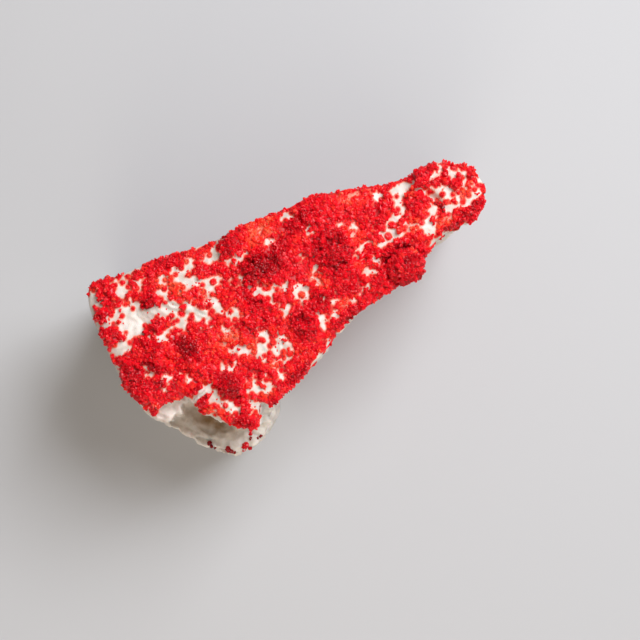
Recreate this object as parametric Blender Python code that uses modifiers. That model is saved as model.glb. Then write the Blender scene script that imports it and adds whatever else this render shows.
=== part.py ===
"""A slice of red velvet layer cake, one of about twelve from a ten-inch round cake.

Three sponge layers and two cream fillings stand under one coat of cream-cheese frosting. The coat
covers the top and the round outer side, and the two cut faces and the tip are bare. Its top is
swirled by hand and strewn with cake crumbs, and its back right corner is torn, so that a ragged
ledge of frosting stands out under a flap of the top.

Units are metres and +Z is up. +X points to the tip, so the cut faces look to +Y (left) and -Y
(right). The origin is the middle of the flat base.
"""

import math
import random

import bmesh
import bpy
from mathutils import Matrix, Vector, noise
from mathutils.bvhtree import BVHTree
from mathutils.kdtree import KDTree

MM = 0.001

# Driving dimensions.
SPONGE_THICKNESS = 17.0 * MM
FILLING_THICKNESS = 6.7 * MM
FROSTING_THICKNESS = 8.7 * MM
GAP = 0.3 * MM

# The stack, from the base up: (node, thickness, material).
STACK = (
    ("sponge_bottom", SPONGE_THICKNESS, "sponge"),
    ("filling_lower", FILLING_THICKNESS, "cream"),
    ("sponge_middle", SPONGE_THICKNESS, "sponge"),
    ("filling_upper", FILLING_THICKNESS, "cream"),
    ("sponge_top", SPONGE_THICKNESS, "sponge"),
)
FROSTING_BASE = sum(thickness + GAP for _, thickness, _ in STACK)
FROSTING_TOP = FROSTING_BASE + FROSTING_THICKNESS

# Plan of the sponge in mm: (x, y, fillet radius) from the tip's right corner, seen from above and
# turning left. The last two corners cut off the back right, where the frosting is thickest.
SPONGE_CORNERS = (
    (63.5, -7.1, 5.5),
    (63.5, 5.4, 5.5),
    (16.0, 19.4, 60.0),
    (-55.5, 33.5, 4.0),
    (-56.8, 4.0, 24.0),
    (-38.3, -20.8, 12.0),
    (-24.0, -24.5, 20.0),
)
BACK_LEFT, SMEAR_END = 3, 6  # corners where the frosting's outer wall begins and ends
FILLET_STEPS = 8
OUTLINE_SPACING = 3.6 * MM
SIDE_ROWS = 3

# How far the sides waver, and the sizes of the coarse and the fine crumb in them.
SIDE_ROUGHNESS = {"sponge": 1.0 * MM, "cream": 0.4 * MM}
COARSE_CRUMB = 5.0 * MM
FINE_CRUMB = 1.9 * MM

# The upper filling is squeezed out of the right face near the tip.
BULGE_CENTRE = Vector((50.5 * MM, -10.5 * MM))
BULGE_REACH = 11.0 * MM
BULGE_DEPTH = 3.0 * MM

# Edge of the frosted top in mm, in the same order. The run from (-62.6, -8.0) to (-37.5, -31.0)
# is the flap over the torn corner.
TOP_EDGE = (
    (65.6, -5.0), (66.0, -1.0), (65.0, 3.3), (62.2, 6.6), (57.5, 9.8), (52.0, 11.2),
    (44.5, 11.1), (32.5, 15.6), (18.0, 21.8), (9.0, 22.8), (-8.5, 26.0), (-18.0, 26.7),
    (-33.5, 30.8), (-49.0, 33.4), (-57.0, 36.0), (-61.2, 32.0), (-63.4, 24.0), (-65.4, 8.5),
    (-65.9, 2.0), (-65.0, -3.5), (-62.6, -8.0), (-52.0, -10.2), (-50.3, -14.2), (-46.0, -23.4),
    (-37.5, -31.0), (-34.9, -29.4), (-32.0, -25.6), (-26.5, -27.2), (-9.0, -23.3), (0.0, -19.6),
    (9.9, -17.6), (27.0, -17.4), (34.0, -16.4), (39.5, -12.4), (46.0, -10.9), (53.0, -11.0),
    (57.5, -11.7), (61.8, -9.4),
)  # fmt: skip

# Edge of the low ledge of frosting at the torn corner, closed inside the cake where it is cut away.
LEDGE_EDGE = (
    (-62.0, 10.0), (-65.4, 2.0), (-66.3, -6.0), (-64.6, -12.0), (-61.9, -17.8), (-58.8, -23.6),
    (-57.2, -28.0), (-54.6, -29.4), (-53.6, -32.8), (-49.4, -36.4), (-43.9, -36.9),
    (-38.6, -36.2), (-34.4, -33.8), (-31.0, -29.6), (-30.0, -18.0), (-44.0, 4.0),
)  # fmt: skip
LEDGE_HEIGHT = (62.0 * MM, 45.0 * MM)  # at its left end, and along the torn corner
LEDGE_FALL = (-6.0 * MM, -22.0 * MM)  # where along Y it falls from the one to the other

# The hollow torn out between the ledge and the flap: centre, half sizes and turn.
HOLLOW_CENTRE = Vector((-51.4 * MM, -23.2 * MM, 53.6 * MM))
HOLLOW_RADII = Vector((14.5 * MM, 8.6 * MM, 9.2 * MM))
HOLLOW_TURN = math.radians(-48.0)

# Swells and hollows of the top in mm: (x, y, half length, half width, turn in degrees, height).
SWELLS = (
    (-50.4, 5.5, 6.5, 4.8, 60, 1.7),  # round mound near the back
    (-62.0, 6.0, 4.0, 3.5, 0, 1.0),
    (-47.5, -1.5, 9.5, 1.6, -70, -1.9),  # crease beside the mound
    (-51.5, -1.5, 6.5, 1.3, -35, -1.3),
    (-50.0, 17.0, 6.0, 4.0, 60, -1.1),  # bare scraped patch
    (-38.0, 17.5, 8.0, 2.0, -25, 1.2),  # smeared ridges
    (-33.5, 12.0, 7.0, 1.6, -30, 1.0),
    (-37.5, -16.0, 6.0, 4.0, -30, 1.1),
    (-13.5, 23.0, 4.6, 4.0, 20, 1.2),
    (-7.5, 12.6, 5.6, 5.0, 0, 1.9),  # heaps of crumbs
    (16.1, 6.2, 7.0, 6.0, 30, 1.9),
    (-6.5, -12.0, 4.2, 6.5, 10, 1.3),
    (3.0, 0.0, 8.0, 4.0, 20, -0.8),
    (48.2, 8.3, 2.0, 6.0, 35, 1.7),  # curled fold behind the tip
    (50.0, 0.5, 1.5, 4.5, 15, -2.6),  # crack in front of the fold
    (58.5, -0.5, 6.0, 6.0, 0, -1.2),  # the tip sags
)  # fmt: skip
TOP_BAND = 3.0 * MM  # depth below the flat top that the swells move
TOP_WAVER, TOP_WAVE = 0.45 * MM, 6.0 * MM
RIM_DROP = 2.2 * MM
RIM_WIDTH = 4.5 * MM

# The wall: strokes of the palette knife, a flared foot and a torn, uneven ledge.
STROKE_DEPTH = 0.35 * MM
STROKE_LENGTH, STROKE_HEIGHT = 14.0 * MM, 3.0 * MM
FOOT_FLARE, FOOT_HEIGHT = 1.2 * MM, 12.0 * MM
TEAR_DEPTH, TEAR_SIZE = 0.8 * MM, 3.5 * MM

# How finely the frosting is blocked out, and the share of its faces that is kept.
BLOCK_VOXEL = 1.3 * MM
FROSTING_FACES_KEPT = 0.10

# Crumbs on the top: how many, the radius of the first and the last one laid, and how far apart.
CRUMB_COUNT = 140
CRUMB_RADIUS = (1.5 * MM, 0.9 * MM)
CRUMB_SPACING = 4.8 * MM
CROWDING = 0.9995  # what each try leaves of the spacing
CRUMB_RISE = 0.35  # of the radius
RIM_CLEARANCE = 1.6 * MM
SEED = 7

# Bare patches among the crumbs in mm: (x, y, half length, half width, turn in degrees).
BARE_PATCHES = (
    (-49.0, 17.5, 8.0, 4.0, 55),
    (-37.0, 15.0, 9.0, 4.5, -25),
    (-20.0, -14.0, 7.0, 6.0, 20),
    (-13.0, -5.5, 5.0, 3.0, -20),
    (-9.0, 1.5, 4.0, 2.2, 0),
    (44.0, 4.0, 3.0, 8.0, 20),
    (33.0, 3.0, 3.0, 4.0, 0),
    (57.0, 4.0, 3.0, 4.0, 0),
)  # fmt: skip

# The lump of stuck crumbs on the right edge, and its flat seat in the frosting.
LUMP_CENTRE = Vector((30.8 * MM, -12.9 * MM))
LUMP_RADIUS = 5.8 * MM
LUMP_SHAPE = Vector((1.0, 0.92, 0.72))
LUMP_SUNK = 0.45  # how much of the lower half is left above the cut
LUMP_FACES_KEPT = 0.16
SEAT_DEPTH = 1.6 * MM
SEAT_MARGIN = 1.3 * MM

# Finish of each material: base colour (linear), roughness, metallic.
FINISHES = {
    "sponge": ((0.16, 0.008, 0.012, 1.0), 0.9, 0.0),
    "cream": ((0.86, 0.80, 0.70, 1.0), 0.45, 0.0),
    "crumbs": ((0.55, 0.010, 0.016, 1.0), 0.7, 0.0),
}


# Scene, materials and plans.


def clear_scene():
    for leftover in list(bpy.data.objects):
        bpy.data.objects.remove(leftover)


def new_collection(name):
    made = bpy.data.collections.new(name)
    bpy.context.scene.collection.children.link(made)
    return made


def make_material(name):
    colour, roughness, metallic = FINISHES[name]
    material = bpy.data.materials.new(name)
    material.use_nodes = True
    shader = material.node_tree.nodes["Principled BSDF"]
    shader.inputs["Base Color"].default_value = colour
    shader.inputs["Roughness"].default_value = roughness
    shader.inputs["Metallic"].default_value = metallic
    material.diffuse_color = colour
    return material


def in_mm(points):
    return [Vector((x * MM, y * MM)) for x, y in points]


def fillet(before, corner, after, radius):
    """The arc that rounds one corner of a polygon, as points."""
    inward, outward = (before - corner).normalized(), (after - corner).normalized()
    half_angle = inward.angle(outward) / 2
    tangent = radius / math.tan(half_angle)
    centre = corner + (inward + outward).normalized() * radius / math.sin(half_angle)
    start, end = corner + inward * tangent - centre, corner + outward * tangent - centre
    turns = [start.slerp(end, step / FILLET_STEPS) for step in range(FILLET_STEPS + 1)]
    return [centre + turn * radius for turn in turns]


def rounded_outline(corners):
    """A closed outline with every corner filleted, and the index where each fillet begins."""
    places = in_mm([corner[:2] for corner in corners])
    outline, starts = [], []
    for i, (_, _, radius) in enumerate(corners):
        starts.append(len(outline))
        after = places[(i + 1) % len(places)]
        outline += fillet(places[i - 1], places[i], after, radius * MM)
    return outline, starts


def smooth_outline(points, steps=5):
    """A closed Catmull-Rom curve through the points."""
    outline = []
    for i in range(len(points)):
        a, b, c, d = (points[(i + k) % len(points)] for k in (-1, 0, 1, 2))
        for step in range(steps):
            t = step / steps
            bend = (2 * a - 5 * b + 4 * c - d) * t**2 + (3 * b - a - 3 * c + d) * t**3
            outline.append((2 * b + (c - a) * t + bend) / 2)
    return outline


def evenly_spaced(outline, spacing):
    """The same closed outline with its points a given distance apart."""
    ends = outline[1:] + outline[:1]
    lengths = [(b - a).length for a, b in zip(outline, ends)]
    count = round(sum(lengths) / spacing)
    step = sum(lengths) / count
    points, walked = [], 0.0
    for a, b, length in zip(outline, ends, lengths):
        while len(points) * step < walked + length and len(points) < count:
            points.append(a.lerp(b, (len(points) * step - walked) / length))
        walked += length
    return points


def grown(outline, distance):
    """The outline moved outwards along its normals."""
    moved = []
    for i, point in enumerate(outline):
        along = outline[(i + 1) % len(outline)] - outline[i - 1]
        moved.append(point + Vector((along.y, -along.x)).normalized() * distance)
    return moved


def rim_tree(outline):
    """A search tree of close points on an outline, for distances to it."""
    points = evenly_spaced(outline, GAP)
    tree = KDTree(len(points))
    for i, point in enumerate(points):
        tree.insert(point.to_3d(), i)
    tree.balance()
    return tree


def in_ellipse(x, y, ellipse):
    """How far into an ellipse a point lies: 0 at its centre, 1 on its edge."""
    centre_x, centre_y, half_length, half_width, degrees = ellipse
    offset = Vector((x / MM - centre_x, y / MM - centre_y))
    offset.rotate(Matrix.Rotation(-math.radians(degrees), 2))
    return math.hypot(offset.x / half_length, offset.y / half_width)


# Solids.


def solid_object(name, mesh, collection):
    """An object whose caps and walls are one closed surface that faces out."""
    shape = bmesh.new()
    shape.from_mesh(mesh)
    bmesh.ops.remove_doubles(shape, verts=shape.verts, dist=0.01 * MM)
    bmesh.ops.recalc_face_normals(shape, faces=shape.faces)
    shape.to_mesh(mesh)
    shape.free()
    mesh.name = name
    made = bpy.data.objects.new(name, mesh)
    collection.objects.link(made)
    return made


def prism(name, outline, low, high, collection):
    """A closed solid of constant section: a filled 2D curve, extruded and made a mesh."""
    curve = bpy.data.curves.new(name, "CURVE")
    curve.dimensions = "2D"
    curve.fill_mode = "BOTH"
    curve.extrude = (high - low) / 2
    spline = curve.splines.new("POLY")
    spline.points.add(len(outline) - 1)
    spline.use_cyclic_u = True
    for place, point in zip(spline.points, outline):
        place.co = (point.x, point.y, 0, 1)
    drawn = bpy.data.objects.new(name + "_curve", curve)
    drawn.location.z = (low + high) / 2
    collection.objects.link(drawn)
    bpy.context.view_layer.update()
    graph = bpy.context.evaluated_depsgraph_get()
    mesh = bpy.data.meshes.new_from_object(drawn.evaluated_get(graph))
    mesh.transform(drawn.matrix_world)
    bpy.data.objects.remove(drawn)
    return solid_object(name, mesh, collection)


def hide_helper(helper):
    helper.hide_render = True
    helper.display_type = "WIRE"
    return helper


def add_cut(target, cutter):
    modifier = target.modifiers.new(cutter.name, "BOOLEAN")
    modifier.operation = "DIFFERENCE"
    modifier.object = hide_helper(cutter)


def apply_modifiers(target):
    bpy.context.view_layer.update()
    graph = bpy.context.evaluated_depsgraph_get()
    mesh = bpy.data.meshes.new_from_object(target.evaluated_get(graph))
    target.modifiers.clear()
    target.data = mesh


def finish(part, name):
    part.data.materials.clear()
    part.data.materials.append(make_material(name))
    part.data.shade_smooth()
    part.data.set_sharp_from_angle(angle=math.radians(50))


# The sponge layers and fillings.


def ragged_layer(name, outline, thickness, roughness, collection):
    """One layer: flat above and below, with a crumbly or smeared side."""
    layer = prism(name, outline, 0, thickness, collection)
    shape = bmesh.new()
    shape.from_mesh(layer.data)
    uprights = []
    for edge in shape.edges:
        run = edge.verts[0].co - edge.verts[1].co
        if abs(run.z) > GAP and run.xy.length < GAP:
            uprights.append(edge)
    bmesh.ops.subdivide_edges(shape, edges=uprights, cuts=SIDE_ROWS)
    shape.normal_update()
    apart = Vector((0, 0, 10 * len(collection.objects)))
    moves = {}
    for vert in shape.verts:
        walls = [face.normal for face in vert.link_faces if abs(face.normal.z) < 0.5]
        coarse = noise.noise(vert.co / COARSE_CRUMB + apart)
        fine = noise.noise(vert.co / FINE_CRUMB - apart)
        inwards = 0.5 - 0.6 * coarse - 0.7 * fine
        moves[vert] = -sum(walls, Vector()).normalized() * roughness * inwards
    for vert, move in moves.items():
        vert.co += move
    shape.to_mesh(layer.data)
    shape.free()
    return layer


def squeeze_out(layer):
    """Swells the upper filling out of the right face near the tip."""
    for vert in layer.data.vertices:
        near = 1 - (vert.co.xy - BULGE_CENTRE).length / BULGE_REACH
        if near > 0 and vert.co.y < BULGE_CENTRE.y + BULGE_DEPTH:
            vert.co.y -= BULGE_DEPTH * math.sin(near * math.pi / 2)


def build_stack(plan, parts):
    low = 0.0
    for name, thickness, material in STACK:
        layer = ragged_layer(name, plan, thickness, SIDE_ROUGHNESS[material], parts)
        layer.location.z = low
        finish(layer, material)
        low += thickness + GAP
    squeeze_out(parts.objects["filling_upper"])


# The frosting.


def make_ledge(cutters):
    """The block whose top falls from the whole wall to the torn corner."""
    block = prism("ledge", smooth_outline(in_mm(LEDGE_EDGE)), -4 * MM, LEDGE_HEIGHT[0], cutters)
    for vert in block.data.vertices:
        if vert.co.z > 0:
            share = (LEDGE_FALL[0] - vert.co.y) / (LEDGE_FALL[0] - LEDGE_FALL[1])
            vert.co.z -= (LEDGE_HEIGHT[0] - LEDGE_HEIGHT[1]) * max(0.0, min(1.0, share))
    return hide_helper(block)


def torn_hollow(cutters):
    """The cutter for the hollow between the ledge and the flap."""
    mesh = bpy.data.meshes.new("torn_hollow")
    shape = bmesh.new()
    placed = Matrix.LocRotScale(HOLLOW_CENTRE, Matrix.Rotation(HOLLOW_TURN, 3, "Z"), HOLLOW_RADII)
    bmesh.ops.create_icosphere(shape, subdivisions=4, radius=1.0, matrix=placed)
    shape.to_mesh(mesh)
    shape.free()
    return solid_object("torn_hollow", mesh, cutters)


def lump_seat(cutters):
    """The cutter that flattens the frosting where the lump of crumbs sits."""
    mesh = bpy.data.meshes.new("lump_seat")
    shape = bmesh.new()
    depth = 10 * MM
    reach = LUMP_RADIUS + SEAT_MARGIN
    placed = Matrix.Translation((*LUMP_CENTRE, FROSTING_TOP - SEAT_DEPTH + depth / 2))
    bmesh.ops.create_cone(
        shape, cap_ends=True, segments=28, radius1=reach, radius2=reach, depth=depth, matrix=placed
    )
    shape.to_mesh(mesh)
    shape.free()
    return solid_object("lump_seat", mesh, cutters)


def top_relief(point, rim):
    """Height that hand swirling adds to the flat top, with a rim that rounds off."""
    height = TOP_WAVER * noise.noise(point / TOP_WAVE)
    for *ellipse, swell in SWELLS:
        height += swell * MM * math.exp(-1.5 * in_ellipse(point.x, point.y, ellipse) ** 2)
    near_rim = max(0.0, 1 - rim.find((point.x, point.y, 0))[2] / RIM_WIDTH)
    return height - RIM_DROP * near_rim**2


def wall_relief(point):
    """How far the wall stands out: knife strokes, the flared foot and the torn ledge."""
    across = Vector((point.x / STROKE_LENGTH, point.y / STROKE_LENGTH, point.z / STROKE_HEIGHT))
    foot = max(0.0, 1 - point.z / FOOT_HEIGHT)
    torn = TEAR_DEPTH * noise.noise(point / TEAR_SIZE) if point.y < LEDGE_FALL[0] else 0.0
    return STROKE_DEPTH * noise.noise(across) + FOOT_FLARE * foot**2 + torn


def shape_surface(frosting, rim):
    """Moves the blocked-out frosting's points into swirls, strokes and a flared foot."""
    for vert in frosting.data.vertices:
        if vert.co.z > FROSTING_TOP - TOP_BAND:
            vert.co.z += top_relief(vert.co, rim)
        else:
            vert.co.xy += vert.normal.xy * wall_relief(vert.co)


def core_outline(plan, starts):
    """What the frosting leaves out: the sponge's plan, open through both cut faces and the tip."""
    far = 90 * MM
    wide = grown(plan, GAP)
    wall = wide[starts[BACK_LEFT] : starts[SMEAR_END] + FILLET_STEPS // 2]
    face = (wall[0] - wide[starts[BACK_LEFT] - 1]).normalized()
    behind = wall[0] + face * far / 3
    below = Vector((wall[-1].x + 6 * MM, -far))
    return [Vector((far, -far)), Vector((far, far)), Vector((behind.x, far)), behind, *wall, below]


def build_frosting(plan, starts, parts, cutters):
    edge = smooth_outline(in_mm(TOP_EDGE))
    rim = rim_tree(edge)
    frosting = prism("frosting", edge, -4 * MM, FROSTING_TOP, parts)
    joined = frosting.modifiers.new("ledge", "BOOLEAN")
    joined.operation = "UNION"
    joined.object = make_ledge(cutters)
    add_cut(frosting, torn_hollow(cutters))
    remesh = frosting.modifiers.new("block", "REMESH")
    remesh.mode = "VOXEL"
    remesh.voxel_size = BLOCK_VOXEL
    apply_modifiers(frosting)
    shape_surface(frosting, rim)
    decimate = frosting.modifiers.new("fewer", "DECIMATE")
    decimate.ratio = FROSTING_FACES_KEPT
    core = core_outline(plan, starts)
    underside = in_mm(((-90, -90), (90, -90), (90, 90), (-90, 90)))
    add_cut(frosting, prism("core", core, -9 * MM, FROSTING_BASE, cutters))
    add_cut(frosting, prism("underside", underside, -20 * MM, 0, cutters))
    add_cut(frosting, lump_seat(cutters))
    apply_modifiers(frosting)
    return frosting, rim


# The crumbs.


def crumb_mesh(name, radius, subdivisions, bump, scale):
    """A lumpy grain round the origin."""
    mesh = bpy.data.meshes.new(name)
    shape = bmesh.new()
    bmesh.ops.create_icosphere(shape, subdivisions=subdivisions, radius=radius)
    apart = Vector((radius / MM, 3, 7))
    for vert in shape.verts:
        vert.co *= 1 + bump * noise.noise(vert.co * scale / radius + apart)
    shape.to_mesh(mesh)
    shape.free()
    return mesh


def is_strewn(x, y, rim):
    """Whether a crumb may lie here: off the rim, the lump and the bare patches."""
    near_lump = (Vector((x, y)) - LUMP_CENTRE).length < LUMP_RADIUS + 2 * CRUMB_RADIUS[0]
    near_rim = rim.find((x, y, 0))[2] < RIM_CLEARANCE
    bare = any(in_ellipse(x, y, patch) < 1 for patch in BARE_PATCHES)
    return not (near_lump or near_rim or bare)


def strewn_places(frosting, rim):
    """Spots on the top, drawn at random and closer together as they fill it."""
    draw = random.Random(SEED)
    surface = BVHTree.FromObject(frosting, bpy.context.evaluated_depsgraph_get())
    places, spacing = [], CRUMB_SPACING
    while len(places) < CRUMB_COUNT:
        spacing *= CROWDING
        x, y = draw.uniform(-66, 66) * MM, draw.uniform(-37, 36) * MM
        spot, normal, _, _ = surface.ray_cast(Vector((x, y, 0.2)), Vector((0, 0, -1)))
        on_top = spot is not None and spot.z > FROSTING_TOP - 2 * TOP_BAND and normal.z > 0.6
        if on_top and is_strewn(x, y, rim):
            if all((spot - other).length > spacing for other in places):
                places.append(spot)
    return places


def strew_crumbs(frosting, rim):
    """Presses crumbs into the top, the largest first, and joins them to the frosting."""
    strewn = new_collection("strewn")
    draw = random.Random(SEED + 1)
    for i, spot in enumerate(strewn_places(frosting, rim)):
        share = i / CRUMB_COUNT
        radius = CRUMB_RADIUS[0] * (1 - share) + CRUMB_RADIUS[1] * share
        crumb = bpy.data.objects.new("crumb", crumb_mesh("crumb", radius, 1, 0.5, 0.9))
        crumb.location = spot + Vector((0, 0, CRUMB_RISE * radius))
        crumb.rotation_euler = [draw.uniform(0, math.tau) for _ in range(3)]
        strewn.objects.link(crumb)
    joined = frosting.modifiers.new("crumbs", "BOOLEAN")
    joined.operation = "UNION"
    joined.solver = "MANIFOLD"
    joined.operand_type = "COLLECTION"
    joined.collection = strewn
    apply_modifiers(frosting)
    for crumb in list(strewn.objects):
        bpy.data.objects.remove(crumb)
    bpy.data.collections.remove(strewn)


def build_lump(parts):
    """The lump of stuck crumbs, cut flat underneath and laid on its seat."""
    mesh = crumb_mesh("crumb_lump", LUMP_RADIUS, 4, 0.3, 2.7)
    height = LUMP_RADIUS * LUMP_SHAPE.z * LUMP_SUNK
    mesh.transform(Matrix.LocRotScale(Vector((0, 0, height)), None, LUMP_SHAPE))
    shape = bmesh.new()
    shape.from_mesh(mesh)
    everything = [*shape.verts, *shape.edges, *shape.faces]
    cut = bmesh.ops.bisect_plane(
        shape, geom=everything, plane_co=(0, 0, 0), plane_no=(0, 0, 1), clear_inner=True
    )
    rim = [item for item in cut["geom_cut"] if isinstance(item, bmesh.types.BMEdge)]
    bmesh.ops.contextual_create(shape, geom=rim)
    shape.to_mesh(mesh)
    shape.free()
    lump = solid_object("crumb_lump", mesh, parts)
    lump.location = (*LUMP_CENTRE, FROSTING_TOP - SEAT_DEPTH + GAP)
    decimate = lump.modifiers.new("fewer", "DECIMATE")
    decimate.ratio = LUMP_FACES_KEPT
    finish(lump, "crumbs")


def centre_on_origin(parts):
    """Hangs every piece on an empty that puts the middle of the whole base at the origin."""
    bpy.context.view_layer.update()
    pieces = list(parts.objects)
    corners = [piece.matrix_world @ Vector(corner) for piece in pieces for corner in piece.bound_box]
    middle = [(min(axis) + max(axis)) / 2 for axis in zip(*corners)]
    holder = bpy.data.objects.new("slice", None)
    holder.location = (-middle[0], -middle[1], 0)
    parts.objects.link(holder)
    for piece in pieces:
        piece.parent = holder


def main():
    clear_scene()
    parts = new_collection("red_velvet_slice")
    cutters = new_collection("cutters")
    plan, starts = rounded_outline(SPONGE_CORNERS)
    build_stack(evenly_spaced(plan, OUTLINE_SPACING), parts)
    frosting, rim = build_frosting(plan, starts, parts, cutters)
    strew_crumbs(frosting, rim)
    finish(frosting, "cream")
    build_lump(parts)
    centre_on_origin(parts)


main()
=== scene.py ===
# %% [markdown]
# # A slice of red velvet layer cake
#
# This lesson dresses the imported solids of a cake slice: three dyed sponge layers, two cream
# fillings, a coat of cream-cheese frosting with a torn corner, and thousands of red crumbs.
# The solids come first and stay fixed. Every new piece is modelled around them, in metres, so
# nothing has to be fitted afterwards.

import math

import bmesh
import bpy
import numpy as np
from mathutils import Matrix, Vector, noise
from mathutils.bvhtree import BVHTree
from mathutils.kdtree import KDTree


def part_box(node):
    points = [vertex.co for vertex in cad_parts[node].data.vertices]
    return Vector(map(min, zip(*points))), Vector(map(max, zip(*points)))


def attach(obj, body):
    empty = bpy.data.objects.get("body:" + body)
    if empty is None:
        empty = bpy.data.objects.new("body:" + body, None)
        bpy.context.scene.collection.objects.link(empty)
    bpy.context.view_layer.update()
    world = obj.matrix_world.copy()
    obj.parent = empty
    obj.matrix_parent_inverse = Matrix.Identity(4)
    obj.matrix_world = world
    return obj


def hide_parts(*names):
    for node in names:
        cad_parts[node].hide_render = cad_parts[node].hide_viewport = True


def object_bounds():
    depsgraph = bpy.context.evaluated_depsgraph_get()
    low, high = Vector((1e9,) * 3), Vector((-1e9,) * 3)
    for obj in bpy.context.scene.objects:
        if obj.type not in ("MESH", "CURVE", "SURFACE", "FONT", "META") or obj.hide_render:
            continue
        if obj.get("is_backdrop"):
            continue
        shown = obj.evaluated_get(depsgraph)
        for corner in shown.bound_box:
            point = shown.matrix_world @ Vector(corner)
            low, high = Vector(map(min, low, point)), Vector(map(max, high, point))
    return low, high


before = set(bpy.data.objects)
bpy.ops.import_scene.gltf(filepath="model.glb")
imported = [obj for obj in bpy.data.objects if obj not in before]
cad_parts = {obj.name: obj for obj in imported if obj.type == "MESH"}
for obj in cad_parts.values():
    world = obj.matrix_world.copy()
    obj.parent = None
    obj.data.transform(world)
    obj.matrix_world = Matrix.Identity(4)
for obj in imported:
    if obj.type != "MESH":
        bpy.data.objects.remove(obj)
cad_low, cad_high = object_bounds()
MM = 0.001
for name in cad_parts:
    low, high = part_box(name)
    print(name, [round(side / MM, 1) for side in high - low], "mm, from z =", round(low.z / MM, 1))

# %% [markdown]
# ## Camera
#
# The slice is looked at from straight above. A camera with no tilt looks down by itself, so only
# its turn about the vertical is set. A long lens from 62 cm keeps the sides nearly hidden, as for
# someone who leans over the slice. Places below are in "plan" millimetres, the ones the slice was
# drawn in. PLAN_SHIFT takes them to the frame, whose origin is the middle of the base.

# %% Camera
PLAN_SHIFT = Vector((0.684, 1.048, 0.0)) * MM
CAMERA_PLACE = Vector((-1.56, -12.9, 624.0)) * MM
CAMERA_TURN = math.radians(-32)
LENS, SENSOR = 96.68, 36.0
NEAREST_SEEN = 10 * MM

camera = bpy.data.objects.new("camera", bpy.data.cameras.new("camera"))
camera.location = CAMERA_PLACE + PLAN_SHIFT
camera.rotation_euler = (0, 0, CAMERA_TURN)
camera.data.lens = LENS
camera.data.sensor_width = SENSOR
camera.data.clip_start = NEAREST_SEEN
bpy.context.collection.objects.link(camera)
bpy.context.scene.camera = camera
print("camera is", round(camera.location.z / MM), "mm above the floor")

# %% [markdown]
# ## Light and floor
#
# One large soft window stands beyond the tip, so the shadow falls softly behind the slice. A
# fainter panel and a pale, warm sky fill the rest, because white frosting and saturated red both
# lose their form in hard light. A low white card throws some light into the torn corner. The
# Standard view transform keeps the food dye as strong as it is.


# %% Colours
def to_linear(code):
    """The linear colour of an sRGB hex value such as E6D9C8."""
    channels = [int(code[i : i + 2], 16) / 255 for i in (0, 2, 4)]
    linear = [c / 12.92 if c <= 0.04045 else ((c + 0.055) / 1.055) ** 2.4 for c in channels]
    return (*linear, 1.0)


# %% Lights
LIGHTS = (  # name, place and width in metres, power in watts, colour
    ("window", (0.52, 0.14, 0.78), 0.5, 9.6, "FBFBFF"),
    ("fill", (-0.15, -0.55, 0.95), 0.8, 2.4, "FFF8F0"),
    ("white_card", (-0.36, -0.42, 0.14), 0.3, 0.85, "FFEEDC"),
)
LIT_POINT = Vector((0, 0, 0.04))  # metres: the middle of the slice, which every light faces

for name, place, width, power, colour in LIGHTS:
    lamp = bpy.data.lights.new(name, "AREA")
    lamp.size = width
    lamp.energy = power
    lamp.color = to_linear(colour)[:3]
    panel = bpy.data.objects.new(name, lamp)
    panel.location = place
    panel.rotation_euler = (Vector(place) - LIT_POINT).to_track_quat("Z", "Y").to_euler()
    bpy.context.collection.objects.link(panel)
    print(name, "gives", power, "watts")

# %% Sky and floor
SKY_COLOUR, SKY_STRENGTH = "F6E8DC", 0.23
FLOOR_SIZE = 4.0  # metres

sky = bpy.data.worlds.new("sky")
sky.use_nodes = True
sky.node_tree.nodes["Background"].inputs["Color"].default_value = to_linear(SKY_COLOUR)
sky.node_tree.nodes["Background"].inputs["Strength"].default_value = SKY_STRENGTH
bpy.context.scene.world = sky
bpy.context.scene.view_settings.view_transform = "Standard"

shape = bmesh.new()
bmesh.ops.create_grid(shape, x_segments=1, y_segments=1, size=FLOOR_SIZE / 2)
floor = bpy.data.objects.new("floor", bpy.data.meshes.new("floor"))
shape.to_mesh(floor.data)
shape.free()
bpy.context.collection.objects.link(floor)
floor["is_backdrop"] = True

# %% [markdown]
# ## Materials
#
# Each finish is a small graph of nodes. One helper adds a node, sets its values and joins its
# inputs, so that a graph reads from top to bottom like a recipe. Patterns read Object
# coordinates, which are metres here, so a noise's scale is 1 divided by the size of its features.


# %% Helpers for materials
def start_material(name, finish):
    """A new material, its node tree and its Principled shader, which gets the finish's values."""
    material = bpy.data.materials.new(name)
    material.use_nodes = True
    shader = material.node_tree.nodes["Principled BSDF"]
    for key, value in finish.items():
        shader.inputs[key].default_value = value
    print("made", name)
    return material, material.node_tree, shader


def add_node(tree, kind, inputs, stops=(), **settings):
    """Adds a node with its properties, and a ramp with its stops, which are (position, hex) pairs.

    An input is joined to a socket, or given a plain value.
    """
    node = tree.nodes.new("ShaderNode" + kind)
    for key, value in settings.items():
        setattr(node, key, value)
    for key, value in inputs.items():
        if isinstance(value, bpy.types.NodeSocket):
            tree.links.new(value, node.inputs[key])
        else:
            node.inputs[key].default_value = value
    if stops:
        elements = node.color_ramp.elements
        while len(elements) < len(stops):
            elements.new(0.5)
        for element, (position, code) in zip(elements, stops):
            element.position = position
            element.color = to_linear(code)
    return node


# %% [markdown]
# ### The floor
#
# A matt painted board. It is nearly white, with a roughness that shows no reflection.

# %% Painted board
BOARD_FINISH = {
    "Base Color": to_linear("C4C6C8"),
    "Roughness": 0.85,
    "Specular IOR Level": 0.2,
}
floor.data.materials.append(start_material("matt_painted_board", BOARD_FINISH)[0])

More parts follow.
